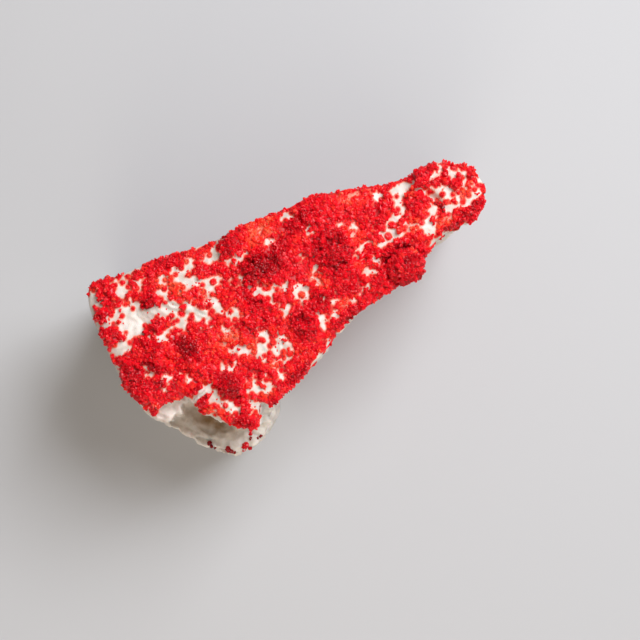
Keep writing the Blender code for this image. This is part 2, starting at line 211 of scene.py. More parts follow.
# %% [markdown]
# ### Cream-cheese frosting
#
# Whipped cream cheese, butter and sugar, spread by hand. Fat scatters light under the surface,
# which gives it a soft ivory glow, and its skin is satin. The dye of the crumbs bleeds into it:
# each point of the mesh carries a "stain", from 0 for clean cream to 1 right under the crumbs,
# and a ramp turns that from ivory through pink and orange to red.
# A second value paints warm shade into the hollow of the torn corner.

# %% Frosting material
FROSTING_GRAIN, FROSTING_BLOTCH, FROSTING_DRAG = 0.45 * MM, 1.1 * MM, 2.4 * MM
FROSTING_FINISH = {
    "Roughness": 0.42,
    "IOR": 1.46,
    "Subsurface Weight": 0.3,
    "Subsurface Radius": (1.0, 0.62, 0.42),
    "Subsurface Scale": 1.2 * MM,
}
STAIN_STOPS = (
    (0.2, "E6E0D8"), (0.36, "F0CCC0"), (0.55, "F2836A"), (0.75, "EC3A2C"), (0.95, "D01220"),
)  # fmt: skip
DRAG_STOPS = ((0.35, "DDD6CE"), (0.6, "FFFFFF"))
HOLLOW_SHADE_COLOUR = "A88862"  # painted warm shade, multiplied into the hollow of the torn corner
UNEVEN_STAIN = 0.36  # how far the blotches move the stain, from least to most
MULTIPLIED = {"data_type": "RGBA", "blend_type": "MULTIPLY"}


def make_frosting_material():
    material, tree, shader = start_material("spread_cream_cheese_frosting", FROSTING_FINISH)
    where = add_node(tree, "TexCoord", {}).outputs["Object"]
    stain, hollow_shade = (
        add_node(tree, "Attribute", {}, attribute_name=name).outputs["Fac"] for name in ("stain", "hollow_shade")
    )
    blotch, drag, grain = (
        add_node(tree, "TexNoise", {"Vector": where, "Scale": 1 / size, "Detail": 4.0}).outputs[0]
        for size in (FROSTING_BLOTCH, FROSTING_DRAG, FROSTING_GRAIN)
    )
    shift = {0: blotch, 1: UNEVEN_STAIN, 2: -UNEVEN_STAIN / 2}
    uneven = add_node(tree, "Math", shift, operation="MULTIPLY_ADD").outputs[0]
    bled = add_node(tree, "Math", {0: stain, 1: uneven}, operation="ADD", use_clamp=True).outputs[0]
    dye = add_node(tree, "ValToRGB", {"Fac": bled}, STAIN_STOPS).outputs[0]
    tone = add_node(tree, "ValToRGB", {"Fac": drag}, DRAG_STOPS).outputs[0]
    spread = add_node(tree, "Mix", {0: 0.6, 6: dye, 7: tone}, **MULTIPLIED).outputs[2]
    # Painted shade: where the second value is 1, in the hollow of the torn corner, the cream is
    # multiplied by a warm brown.
    hollow_shading = add_node(tree, "Mix", {0: hollow_shade, 6: spread, 7: to_linear(HOLLOW_SHADE_COLOUR)}, **MULTIPLIED)
    bump = add_node(tree, "Bump", {"Height": grain, "Strength": 0.5, "Distance": 0.2 * MM})
    tree.links.new(hollow_shading.outputs[2], shader.inputs["Base Color"])
    tree.links.new(bump.outputs[0], shader.inputs["Normal"])
    return material


frosting_material = make_frosting_material()

# %% [markdown]
# ### Dyed sponge
#
# Oil sponge with cocoa and red dye, cut with a knife. It is matt and dark because light is lost
# in its pores. The mesh carries a value that is 0 on the cut surface and 1 at the bottom of a
# hole, which paints shade into the holes, and a "smear" value where the knife dragged cream over it.

# %% Sponge material
SPONGE_FINE, SPONGE_COARSE = 0.5 * MM, 2.6 * MM
SPONGE_FINISH = {
    "Roughness": 0.78,
    "IOR": 1.4,
    "Subsurface Weight": 0.12,
    "Subsurface Radius": (1.0, 0.2, 0.15),
    "Subsurface Scale": 1.2 * MM,
}
SPONGE_STOPS = ((0.3, "7E1014"), (0.5, "A3181B"), (0.7, "B92A22"))
# Painted shade in the holes of the sponge, from none to the deepest.
PORE_SHADE_STOPS = ((0.0, "FFFFFF"), (0.45, "B08A84"), (1.0, "552A28"))
SMEARED_CREAM = "E9C3B4"  # cream with a little dye in it


def make_sponge_material():
    material, tree, shader = start_material("cut_oil_sponge_with_red_dye", SPONGE_FINISH)
    where = add_node(tree, "TexCoord", {}).outputs["Object"]
    pore_shade, smear = (
        add_node(tree, "Attribute", {}, attribute_name=name).outputs["Fac"] for name in ("pore_shade", "smear")
    )
    patches, fine = (
        add_node(tree, "TexNoise", {"Vector": where, "Scale": 1 / size, "Detail": 4.0}).outputs[0]
        for size in (SPONGE_COARSE, SPONGE_FINE)
    )
    crumb = add_node(tree, "ValToRGB", {"Fac": patches}, SPONGE_STOPS).outputs[0]
    shade = add_node(tree, "ValToRGB", {"Fac": pore_shade}, PORE_SHADE_STOPS).outputs[0]
    dark = add_node(tree, "Mix", {0: 0.9, 6: crumb, 7: shade}, **MULTIPLIED).outputs[2]
    cream = add_node(tree, "Mix", {0: smear, 6: dark, 7: to_linear(SMEARED_CREAM)}, data_type="RGBA")
    bump = add_node(tree, "Bump", {"Height": fine, "Strength": 0.8, "Distance": 0.4 * MM})
    tree.links.new(cream.outputs[2], shader.inputs["Base Color"])
    tree.links.new(bump.outputs[0], shader.inputs["Normal"])
    return material


sponge_material = make_sponge_material()

# %% [markdown]
# ### Crumbs
#
# Sponge rubbed through the fingers, a little moist, so a grain glistens. Every grain carries a
# "tint": 0 in the shade of a deep heap, 1 where cream has wetted it to orange.

# %% Crumb material
CRUMB_GRAIN = 0.45 * MM
CRUMB_FINISH = {
    "Roughness": 0.13,
    "IOR": 1.42,
    "Specular IOR Level": 0.36,
    "Subsurface Weight": 0.4,
    "Subsurface Radius": (1.0, 0.1, 0.1),
    "Subsurface Scale": 0.9 * MM,
}
CRUMB_STOPS = (
    (0.0, "86020B"), (0.14, "AE0210"), (0.34, "D20517"), (0.58, "F41024"), (0.8, "FF3424"),
    (1.0, "FF6A48"),
)  # fmt: skip
UNEVEN_DYE = 0.5  # how far the noise moves the tint inside each grain, from least to most


def make_crumb_material():
    material, tree, shader = start_material("moist_rubbed_cake_crumbs", CRUMB_FINISH)
    where = add_node(tree, "TexCoord", {}).outputs["Object"]
    tint = add_node(tree, "Attribute", {}, attribute_name="tint").outputs["Fac"]
    pattern = {"Vector": where, "Scale": 1 / CRUMB_GRAIN, "Detail": 3.0}
    grain = add_node(tree, "TexNoise", pattern).outputs[0]
    shift = {0: grain, 1: UNEVEN_DYE, 2: -UNEVEN_DYE / 2}
    uneven = add_node(tree, "Math", shift, operation="MULTIPLY_ADD").outputs[0]
    mixed = add_node(tree, "Math", {0: tint, 1: uneven}, operation="ADD", use_clamp=True).outputs[0]
    dye = add_node(tree, "ValToRGB", {"Fac": mixed}, CRUMB_STOPS)
    bump = add_node(tree, "Bump", {"Height": grain, "Strength": 0.6, "Distance": 0.25 * MM})
    tree.links.new(dye.outputs[0], shader.inputs["Base Color"])
    tree.links.new(bump.outputs[0], shader.inputs["Normal"])
    return material


crumb_material = make_crumb_material()

# %% [markdown]
# ## The frosting's block
#
# The frosting could be sculpted, but code needs a recipe: draw the plan of the top with a smooth
# curve, extrude it, join what was left at the torn corner, a low ledge and a small high shelf, and
# scoop out the hollow between them. A voxel remesh then turns the block into even little squares,
# which are easy to push into swirls. Apart from the shelf, the outlines are within a millimetre of
# the ones that the solids were made from, so the new surface lies where the solid does.

# %% Outlines of the block
FROSTING_BASE = 65.9 * MM
FROSTING_TOP = 74.6 * MM
TOP_EDGE = (
    (65.6, -5.0), (66.0, -1.0), (65.0, 3.3), (62.2, 6.6), (57.5, 9.8), (52.0, 11.2),
    (44.5, 11.1), (32.5, 15.6), (18.0, 21.8), (9.0, 22.8), (-8.5, 26.0), (-18.0, 26.7),
    (-33.5, 30.8), (-49.0, 33.4), (-57.0, 36.0), (-61.2, 32.0), (-63.4, 24.0), (-65.4, 8.5),
    (-65.9, 2.0), (-65.0, -3.5), (-62.6, -8.0), (-52.0, -10.2), (-50.3, -14.2), (-46.0, -23.4),
    (-37.5, -31.0), (-34.9, -29.4), (-32.0, -25.6), (-26.5, -27.2), (-9.0, -23.3), (0.0, -19.6),
    (9.9, -17.3), (18.0, -16.7), (27.0, -16.7), (34.0, -16.4), (39.5, -12.4), (46.0, -10.9),
    (53.0, -11.0), (57.5, -11.7), (61.8, -9.4),
)  # fmt: skip
LEDGE_EDGE = (
    (-62.0, 10.0), (-65.4, 2.0), (-66.3, -6.0), (-64.6, -12.0), (-61.9, -17.8), (-58.8, -23.6),
    (-57.2, -28.0), (-54.6, -29.4), (-53.6, -32.8), (-49.4, -36.4), (-43.9, -36.9),
    (-38.6, -36.2), (-34.4, -33.8), (-31.0, -29.6), (-30.0, -18.0), (-44.0, 4.0),
)  # fmt: skip
LEDGE_HEIGHT = (62.0 * MM, 45.0 * MM)
LEDGE_FALL = (-6.0 * MM, -22.0 * MM)
SHELF_EDGE = (
    (-50.5, -6.0), (-63.0, -4.0), (-64.4, -9.0), (-63.0, -12.6), (-60.2, -14.6), (-57.6, -14.0),
    (-55.6, -15.2), (-54.4, -12.6), (-51.8, -11.4),
)  # fmt: skip
SHELF_HEIGHT = 68.4 * MM
HOLLOW_CENTRE = Vector((-51.4, -23.2, 53.6)) * MM
HOLLOW_RADII = Vector((14.5, 8.6, 9.2)) * MM
HOLLOW_TURN = math.radians(-48)


# %% Helpers for blocks
def smooth_outline(points, steps=6):
    """A closed Catmull-Rom curve through points in plan millimetres."""
    places = [Vector(point) * MM for point in points]
    outline = []
    for i in range(len(places)):
        a, b, c, d = (places[(i + k) % len(places)] for k in (-1, 0, 1, 2))
        for step in range(steps):
            t = step / steps
            bend = (2 * a - 5 * b + 4 * c - d) * t**2 + (3 * b - a - 3 * c + d) * t**3
            outline.append((2 * b + (c - a) * t + bend) / 2)
    return outline


def new_object(name, shape):
    """An object of a bmesh, linked to the scene."""
    made = bpy.data.objects.new(name, bpy.data.meshes.new(name))
    shape.to_mesh(made.data)
    shape.free()
    bpy.context.collection.objects.link(made)
    return made


def prism(name, outline, low, high):
    """A closed block of one plan, by extruding a face."""
    shape = bmesh.new()
    face = shape.faces.new([shape.verts.new((*point, low)) for point in outline])
    made = bmesh.ops.extrude_face_region(shape, geom=[face])
    raised = [item for item in made["geom"] if isinstance(item, bmesh.types.BMVert)]
    bmesh.ops.translate(shape, verts=raised, vec=(0, 0, high - low))
    bmesh.ops.recalc_face_normals(shape, faces=shape.faces)
    return new_object(name, shape)


def apply_modifiers(target):
    """Makes the modifiers' result the object's own mesh."""
    bpy.context.view_layer.update()
    graph = bpy.context.evaluated_depsgraph_get()
    mesh = bpy.data.meshes.new_from_object(target.evaluated_get(graph))
    target.modifiers.clear()
    target.data = mesh


def add_boolean(target, other, operation):
    modifier = target.modifiers.new(other.name, "BOOLEAN")
    modifier.operation = operation
    modifier.solver = "MANIFOLD"
    modifier.object = other
    return other


# %% Build the block
BLOCK_VOXEL = 0.5 * MM
BELOW_FLOOR = -4 * MM  # the foot is cut level later

frosting = prism("frosting_coat", smooth_outline(TOP_EDGE), BELOW_FLOOR, FROSTING_TOP)
ledge = prism("ledge", smooth_outline(LEDGE_EDGE), BELOW_FLOOR, LEDGE_HEIGHT[0])
for vert in ledge.data.vertices:
    if vert.co.z > 0:
        share = (LEDGE_FALL[0] - vert.co.y) / (LEDGE_FALL[0] - LEDGE_FALL[1])
        vert.co.z -= (LEDGE_HEIGHT[0] - LEDGE_HEIGHT[1]) * max(0.0, min(1.0, share))

shelf = prism("shelf", smooth_outline(SHELF_EDGE), LEDGE_HEIGHT[1], SHELF_HEIGHT)
shape = bmesh.new()
scoop = Matrix.LocRotScale(HOLLOW_CENTRE, Matrix.Rotation(HOLLOW_TURN, 3, "Z"), HOLLOW_RADII)
bmesh.ops.create_icosphere(shape, subdivisions=5, radius=1.0, matrix=scoop)
hollow = new_object("hollow", shape)

helpers = [add_boolean(frosting, added, "UNION") for added in (ledge, shelf)]
helpers.append(add_boolean(frosting, hollow, "DIFFERENCE"))
remesh = frosting.modifiers.new("squares", "REMESH")
remesh.mode = "VOXEL"
remesh.voxel_size = BLOCK_VOXEL
apply_modifiers(frosting)
print("the block has", len(frosting.data.vertices), "points")

# %% [markdown]
# ## Swirls, smears and the torn corner
#
# The top is a height field: broad swells where the spatula paused, ridges where it dragged, and
# a rim that rounds off. The wall moves sideways instead, in long level strokes. Where the corner
# broke away the cream is torn, and noise with several octaves gives it ragged shelves.

# %% Swells and smears
SWELLS = (  # plan mm: x, y, half length, half width, turn in degrees, height
    (-50.4, 5.5, 6.5, 4.8, 60, 1.7),
    (-62.0, 6.0, 4.0, 3.5, 0, 1.0),
    (-47.5, -1.5, 9.5, 1.6, -70, -1.9),
    (-51.5, -1.5, 6.5, 1.3, -35, -1.3),
    (-50.0, 17.0, 6.0, 4.0, 60, -1.1),
    (-38.0, 17.5, 8.0, 2.0, -25, 1.2),
    (-33.5, 12.0, 7.0, 1.6, -30, 1.0),
    (-37.5, -16.0, 6.0, 4.0, -30, 1.1),
    (-13.5, 23.0, 4.6, 4.0, 20, 1.2),
    (-7.5, 12.6, 5.6, 5.0, 0, 1.9),
    (16.1, 6.2, 7.0, 6.0, 30, 1.9),
    (-6.5, -12.0, 4.2, 6.5, 10, 1.3),
    (3.0, 0.0, 8.0, 4.0, 20, -0.8),
    (48.2, 8.3, 2.0, 6.0, 35, 1.7),
    (50.0, 0.5, 1.5, 4.5, 15, -2.6),
    (58.5, -0.5, 6.0, 6.0, 0, -1.2),
)
SMEARS = (  # plan mm: x, y, half length, half width, turn, then ridge spacing and height
    (-38.5, 14.5, 6.5, 5.0, -40, 2.3, 0.45),
    (-33.5, 8.5, 5.0, 3.5, -55, 2.0, 0.35),
    (-51.0, 19.0, 6.5, 4.5, 80, 2.6, 0.24),
    (-16.2, -14.8, 6.0, 4.0, 80, 2.4, 0.24),
    (-41.0, -20.0, 6.0, 4.0, -50, 2.2, 0.3),
)
SWELL_FALL, SMEAR_FALL = 1.5, 1.2  # how fast they fade out from their centres
DRIFT, DRIFT_SIZE = 0.9, 3.5 * MM  # how far a smear's ridges wander, in ridges
TOP_BAND = 3.0 * MM
TOP_WAVER, TOP_WAVE = 0.45 * MM, 6.0 * MM
TOP_FINE, TOP_FINE_SIZE = 0.24 * MM, 1.8 * MM
RIM_DROP, RIM_WIDTH = 2.2 * MM, 4.5 * MM
RIM_STEPS = 8  # how finely each stretch of the outline is divided to find the rim
print(len(SWELLS), "swells and", len(SMEARS), "smears")


# %% Height of the top
def ellipse_coordinates(places, ellipse):
    """Where points lie in an ellipse: along and across it, in shares of its half sizes."""
    x, y, half_length, half_width, degrees = ellipse
    turn = math.radians(degrees)
    dx, dy = places[:, 0] / MM - x, places[:, 1] / MM - y
    along = dx * math.cos(turn) + dy * math.sin(turn)
    across = dy * math.cos(turn) - dx * math.sin(turn)
    return along / half_length, across / half_width


def in_ellipse(places, ellipse):
    """0 at the centre of an ellipse and 1 on its edge, for each point."""
    return np.hypot(*ellipse_coordinates(places, ellipse))


def wander(places, size, apart=0.0, octaves=1):
    """Smooth noise at each point, about -1 to 1, with features of the given size."""
    scaled = places / size + apart
    if octaves == 1:
        return np.array([noise.noise(point) for point in scaled])
    return np.array([noise.fractal(point, 0.9, 2.0, octaves) for point in scaled])


def point_tree(points):
    """A tree that finds the nearest of some points."""
    tree = KDTree(len(points))
    for i, point in enumerate(points):
        tree.insert(point, i)
    tree.balance()
    return tree


def rim_points(outline):
    """Points close together along a closed outline."""
    pairs = zip(outline, outline[1:] + outline[:1])
    return [a.lerp(b, step / RIM_STEPS).to_3d() for a, b in pairs for step in range(RIM_STEPS)]


def top_relief(places):
    """Height that the spatula's work adds to the flat top, at each point."""
    heights = TOP_WAVER * wander(places, TOP_WAVE)
    heights += TOP_FINE * wander(places, TOP_FINE_SIZE, 40.0, 3)
    for *ellipse, swell in SWELLS:
        heights += swell * MM * np.exp(-SWELL_FALL * in_ellipse(places, ellipse) ** 2)
    drift = DRIFT * wander(places, DRIFT_SIZE, 9.0)
    for *ellipse, spacing, ridge in SMEARS:
        _, across = ellipse_coordinates(places, ellipse)
        waves = np.sin(math.tau * (across * ellipse[3] / spacing + drift))
        heights += ridge * MM * waves * np.exp(-SMEAR_FALL * in_ellipse(places, ellipse) ** 2)
    gaps = np.array([rim.find((x, y, 0))[2] for x, y, _ in places])
    return heights - RIM_DROP * np.clip(1 - gaps / RIM_WIDTH, 0, None) ** 2


# %% Strokes and tears of the wall
STROKE_DEPTH, STROKE_LENGTH, STROKE_HEIGHT = 0.35 * MM, 14.0 * MM, 3.0 * MM
FOOT_FLARE, FOOT_HEIGHT = 1.2 * MM, 12.0 * MM
WALL_FINE, WALL_FINE_SIZE = 0.12 * MM, 1.6 * MM
TORN_DEPTH, TORN_SIZE = 0.8 * MM, 3.5 * MM
SHELF_DEPTH, SHELF_SIZE = 1.4 * MM, np.array([11.0, 4.0, 5.0]) * MM
RAG_DEPTH, RAG_SIZE = 0.45 * MM, 2.4 * MM
TORN_FADE = 3 * MM  # how far the torn corner takes to begin
TORN_FLOOR, TORN_LEAST = 30 * MM, 0.3  # below this height the tear fades, to this share at the foot


def tornness(places):
    """0 on the smooth wall and 1 on the broken corner."""
    started = np.clip((LEDGE_FALL[0] - places[:, 1]) / TORN_FADE, 0, 1)
    return started * np.clip(places[:, 2] / TORN_FLOOR, TORN_LEAST, 1)


def wall_relief(places):
    """How far the wall stands out of the block at each point."""
    flat = places / np.array([STROKE_LENGTH, STROKE_LENGTH, STROKE_HEIGHT])
    out = STROKE_DEPTH * wander(flat, 1.0)
    out += WALL_FINE * wander(places, WALL_FINE_SIZE, 70.0, 3)
    out += FOOT_FLARE * np.clip(1 - places[:, 2] / FOOT_HEIGHT, 0, None) ** 2
    turned = places @ np.array(Matrix.Rotation(HOLLOW_TURN, 3, "Z"))
    shelves = np.abs(wander(turned / SHELF_SIZE, 1.0, 31.0, 2))
    rags = wander(places, RAG_SIZE, 20.0, 4)
    tears = TORN_DEPTH * wander(places, TORN_SIZE) + RAG_DEPTH * rags
    return out + tornness(places) * (tears + SHELF_DEPTH * (0.4 - 2 * shelves))


# %% Move the top and the wall
def get_vectors(items, key):
    """One row of three numbers for each item, such as a mesh's vertices."""
    numbers = np.empty(len(items) * 3)
    items.foreach_get(key, numbers)
    return numbers.reshape(-1, 3)


def points_and_normals(piece):
    return get_vectors(piece.data.vertices, "co"), get_vectors(piece.data.vertex_normals, "vector")


def set_points(piece, points):
    piece.data.vertices.foreach_set("co", points.astype(np.float32).ravel())
    piece.data.update()


rim = point_tree(rim_points(smooth_outline(TOP_EDGE)))
points, normals = points_and_normals(frosting)
on_top = points[:, 2] > FROSTING_TOP - TOP_BAND
points[on_top, 2] += top_relief(points[on_top])
on_wall = ~on_top
wall, outwards = points[on_wall], normals[on_wall]
outwards[:, 2] *= tornness(wall) * (wall[:, 2] > 0)
points[on_wall] += outwards * wall_relief(wall)[:, None]
set_points(frosting, points)
print("moved", int(on_top.sum()), "points of the top and", len(wall), "of the wall")

# %% [markdown]
# ## Cutting the coat free
#
# So far the block is solid. The cake's core is taken out of it, through both cut faces and the
# tip, and so is what lies under the floor and under the lump of crumbs. The core's plan is the
# sponge's own, a little larger. Cutting after the sculpting leaves the hidden faces plain.

# %% Plan of the core
SPONGE_CORNERS = (  # plan mm: x, y, fillet radius
    (63.5, -7.1, 5.5),
    (63.5, 5.4, 5.5),
    (16.0, 19.4, 60.0),
    (-55.5, 33.5, 4.0),
    (-56.8, 4.0, 24.0),
    (-38.3, -20.8, 12.0),
    (-24.0, -24.5, 20.0),
)
BACK_LEFT, SMEAR_END = 3, 6
FILLET_STEPS = 8
GAP = 0.3 * MM
FAR = 90 * MM  # further out than any point of the slice
PAST_SMEAR = 6 * MM  # how far the open side slants past the wall's last point


def fillet(before, corner, after, radius):
    """The arc that rounds one corner of a polygon, as points."""
    inward, outward = (before - corner).normalized(), (after - corner).normalized()
    half_angle = inward.angle(outward) / 2
    tangent = radius / math.tan(half_angle)
    centre = corner + (inward + outward).normalized() * radius / math.sin(half_angle)
    start, end = corner + inward * tangent - centre, corner + outward * tangent - centre
    turns = [start.slerp(end, step / FILLET_STEPS) for step in range(FILLET_STEPS + 1)]
    return [centre + turn * radius for turn in turns]


def grown(outline, distance):
    """The outline moved outwards along its normals."""
    moved = []
    for i, point in enumerate(outline):
        along = outline[(i + 1) % len(outline)] - outline[i - 1]
        moved.append(point + Vector((along.y, -along.x)).normalized() * distance)
    return moved


def core_outline():
    """The sponge's plan where the wall covers it, closed far outside where it is cut."""
    places = [Vector((x, y)) * MM for x, y, _ in SPONGE_CORNERS]
    plan = []
    for i, (_, _, radius) in enumerate(SPONGE_CORNERS):
        plan += fillet(places[i - 1], places[i], places[(i + 1) % len(places)], radius * MM)
    wide = grown(plan, GAP)
    arc = FILLET_STEPS + 1
    wall = wide[BACK_LEFT * arc : SMEAR_END * arc + FILLET_STEPS // 2]
    face = (wall[0] - wide[BACK_LEFT * arc - 1]).normalized()
    behind = wall[0] + face * FAR / 3
    below = Vector((wall[-1].x + PAST_SMEAR, -FAR))
    return [Vector((FAR, -FAR)), Vector((FAR, FAR)), Vector((behind.x, FAR)), behind, *wall, below]


# %% Cut out the core
CORE_FOOT, UNDERSIDE_FOOT = -9 * MM, -20 * MM
LUMP_CENTRE = Vector((30.8, -12.9)) * MM
LUMP_RADIUS = 5.8 * MM
SEAT_DEPTH, SEAT_MARGIN, SEAT_HEIGHT = 1.6 * MM, 1.3 * MM, 10 * MM

core = prism("core", core_outline(), CORE_FOOT, FROSTING_BASE)
square = [Vector(corner) * FAR for corner in ((-1, -1), (1, -1), (1, 1), (-1, 1))]
underside = prism("underside", square, UNDERSIDE_FOOT, 0)
shape = bmesh.new()
reach = LUMP_RADIUS + SEAT_MARGIN
placed = Matrix.Translation((*LUMP_CENTRE, FROSTING_TOP - SEAT_DEPTH + SEAT_HEIGHT / 2))
bmesh.ops.create_cone(
    shape, cap_ends=True, segments=48, radius1=reach, radius2=reach, depth=SEAT_HEIGHT, matrix=placed
)
seat = new_object("seat", shape)
helpers += [add_boolean(frosting, cutter, "DIFFERENCE") for cutter in (core, underside, seat)]
apply_modifiers(frosting)
for helper in helpers:
    bpy.data.objects.remove(helper)
print("the coat has", len(frosting.data.vertices), "points")

# %% [markdown]
# ## The sponge layers and fillings
#
# A cut face of sponge is a field of holes. Each layer is a copy of its solid, because that
# already stands where it should: its flat caps stay as they are, its side is divided into half
# millimetre faces, and noise presses holes into that side. Points only move inwards, so a layer
# never meets its neighbour or the coat.

# %% Helpers for layers and lumps
SIDE_CUTS = 7
SAME_PLACE = 0.01 * MM  # points nearer to each other than this are one


def add_value(mesh, name, values):
    """Stores one number for each point of a mesh, for a material to read."""
    mesh.attributes.new(name, "FLOAT", "POINT").data.foreach_set("value", values.astype(np.float32))


def give_material(piece, material):
    """Makes a material the only one of a piece, and shades the piece smooth."""
    mesh = piece.data
    mesh.materials.clear()
    mesh.materials.append(material)
    mesh.polygons.foreach_set("material_index", np.zeros(len(mesh.polygons), np.int32))
    mesh.shade_smooth()


def copy_solid(node):
    """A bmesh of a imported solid, with its loose triangles joined."""
    shape = bmesh.new()
    shape.from_mesh(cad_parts[node].data)
    bmesh.ops.remove_doubles(shape, verts=shape.verts, dist=SAME_PLACE)
    return shape


def copy_layer(name, node):
    """A copy of a layer's solid with a finely divided side."""
    shape = copy_solid(node)
    low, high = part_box(node)
    caps = []
    for face in shape.faces:
        heights = [vert.co.z for vert in face.verts]
        level = max(heights) - min(heights) < SAME_PLACE
        if level and min(heights[0] - low.z, high.z - heights[0]) < GAP:
            caps.append(face)
    bmesh.ops.delete(shape, geom=caps, context="FACES")
    bmesh.ops.subdivide_edges(shape, edges=shape.edges, cuts=SIDE_CUTS, use_grid_fill=True)
    rims = [edge for edge in shape.edges if edge.is_boundary]
    bmesh.ops.holes_fill(shape, edges=rims, sides=0)
    bmesh.ops.recalc_face_normals(shape, faces=shape.faces)
    layer = new_object(name, shape)
    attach(layer, "root")
    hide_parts(node)
    return layer


def press_in(layer, depths):
    """Moves the side of a layer inwards by a depth for each point."""
    points, normals = points_and_normals(layer)
    sideways = normals * (1, 1, 0)
    sideways /= np.maximum(np.linalg.norm(sideways, axis=1), 1e-6)[:, None]
    set_points(layer, points - sideways * depths[:, None])


# %% [markdown]
# ### Holes in the sponge
#
# Voronoi noise gives the distance to the nearest of many scattered seeds. Where that distance is
# small there is a round hole. Two sizes are used, because baking powder leaves both.

# %% Three sponge layers
PORES = ((3.3 * MM, 0.34, 1.2 * MM), (1.7 * MM, 0.4, 0.6 * MM))  # spacing, radius as a share, depth
SPONGE_LUMPS = ((0.55 * MM, 3.0 * MM), (0.22 * MM, 1.0 * MM))  # depth, size
SMEAR_SIZE = np.array([9.0, 9.0, 2.2]) * MM
CAP_BAND, CAP_SMEAR = 3 * MM, 0.45  # more cream was dragged this near to a layer's flat faces
SMEAR_LEVEL, SMEAR_SHARPNESS, SMEAR_MOST = 0.5, 3, 0.75
SMEAR_FILLING = 0.6  # how much of a hole the cream fills
NEXT_LAYER = 0.5  # metres between two layers in the noise, so that no two are alike


def press_pores(layer, apart):
    points = get_vectors(layer.data.vertices, "co") + (0, 0, apart)
    depths = np.zeros(len(points))
    for spacing, share, depth in PORES:
        nearest = np.array([noise.voronoi(point / spacing)[0][0] for point in points])
        depths += depth * np.sqrt(np.clip(1 - nearest / share, 0, 1))
    holes = np.clip(depths / PORES[0][2], 0, 1)
    for depth, size in SPONGE_LUMPS:
        depths += depth * (0.5 - 0.5 * wander(points, size, 3.0, 3))
    heights = points[:, 2]
    from_cap = np.minimum(heights - heights.min(), heights.max() - heights)
    smear = wander(points / SMEAR_SIZE, 1.0, 5.0, 3) + CAP_SMEAR * np.clip(1 - from_cap / CAP_BAND, 0, 1)
    smear = np.clip((smear - SMEAR_LEVEL) * SMEAR_SHARPNESS, 0, SMEAR_MOST)
    press_in(layer, depths * (1 - SMEAR_FILLING * smear))
    # Painted shade: the sponge gets darker towards the bottom of each hole.
    add_value(layer.data, "pore_shade", holes * (1 - smear))
    add_value(layer.data, "smear", smear)


for number, node in enumerate(("sponge_bottom", "sponge_middle", "sponge_top")):
    layer = copy_layer(node + "_cut_crumb", node)
    press_pores(layer, number * NEXT_LAYER)
    give_material(layer, sponge_material)
    print(layer.name, "has", len(layer.data.polygons), "faces")

# %% [markdown]
# ### Cream fillings
#
# The knife drags a filling into long level streaks and leaves sponge crumbs in it, so its side
# has stretched noise for the streaks and a patchy pink stain.

# %% Two fillings
STREAK = np.array([12.0, 12.0, 1.1]) * MM
STREAK_DEPTH = 0.5 * MM
FLECK, FLECK_DEPTH = 1.3 * MM, 0.15 * MM
BLUSH = STREAK * 0.6
FILLING_STAIN = 0.3


def streak_filling(layer, apart):
    points = get_vectors(layer.data.vertices, "co") + (0, 0, apart)
    streaks = wander(points / STREAK, 1.0, 2.0, 3)
    fine = wander(points, FLECK, 6.0, 3)
    press_in(layer, STREAK_DEPTH * (0.5 - 0.4 * streaks) + FLECK_DEPTH * (0.5 - 0.5 * fine))
    blush = wander(points / BLUSH, 1.0, 11.0, 3)
    add_value(layer.data, "stain", np.clip(blush * FILLING_STAIN * 1.5, 0, FILLING_STAIN))


for number, node in enumerate(("filling_lower", "filling_upper")):
    layer = copy_layer(node + "_spread", node)
    streak_filling(layer, number * NEXT_LAYER)
    give_material(layer, frosting_material)
    print(layer.name, "has", len(layer.data.polygons), "faces")

# %% [markdown]
# ## Where the crumbs lie
#
# The crumbs were strewn by hand, so they cover most of the top, bank up in dark heaps and leave
# bare patches of cream. Each patch, heap and orange, wetted place is an ellipse that was read
# from the real slice. Between them everything follows from these and from seeded noise.

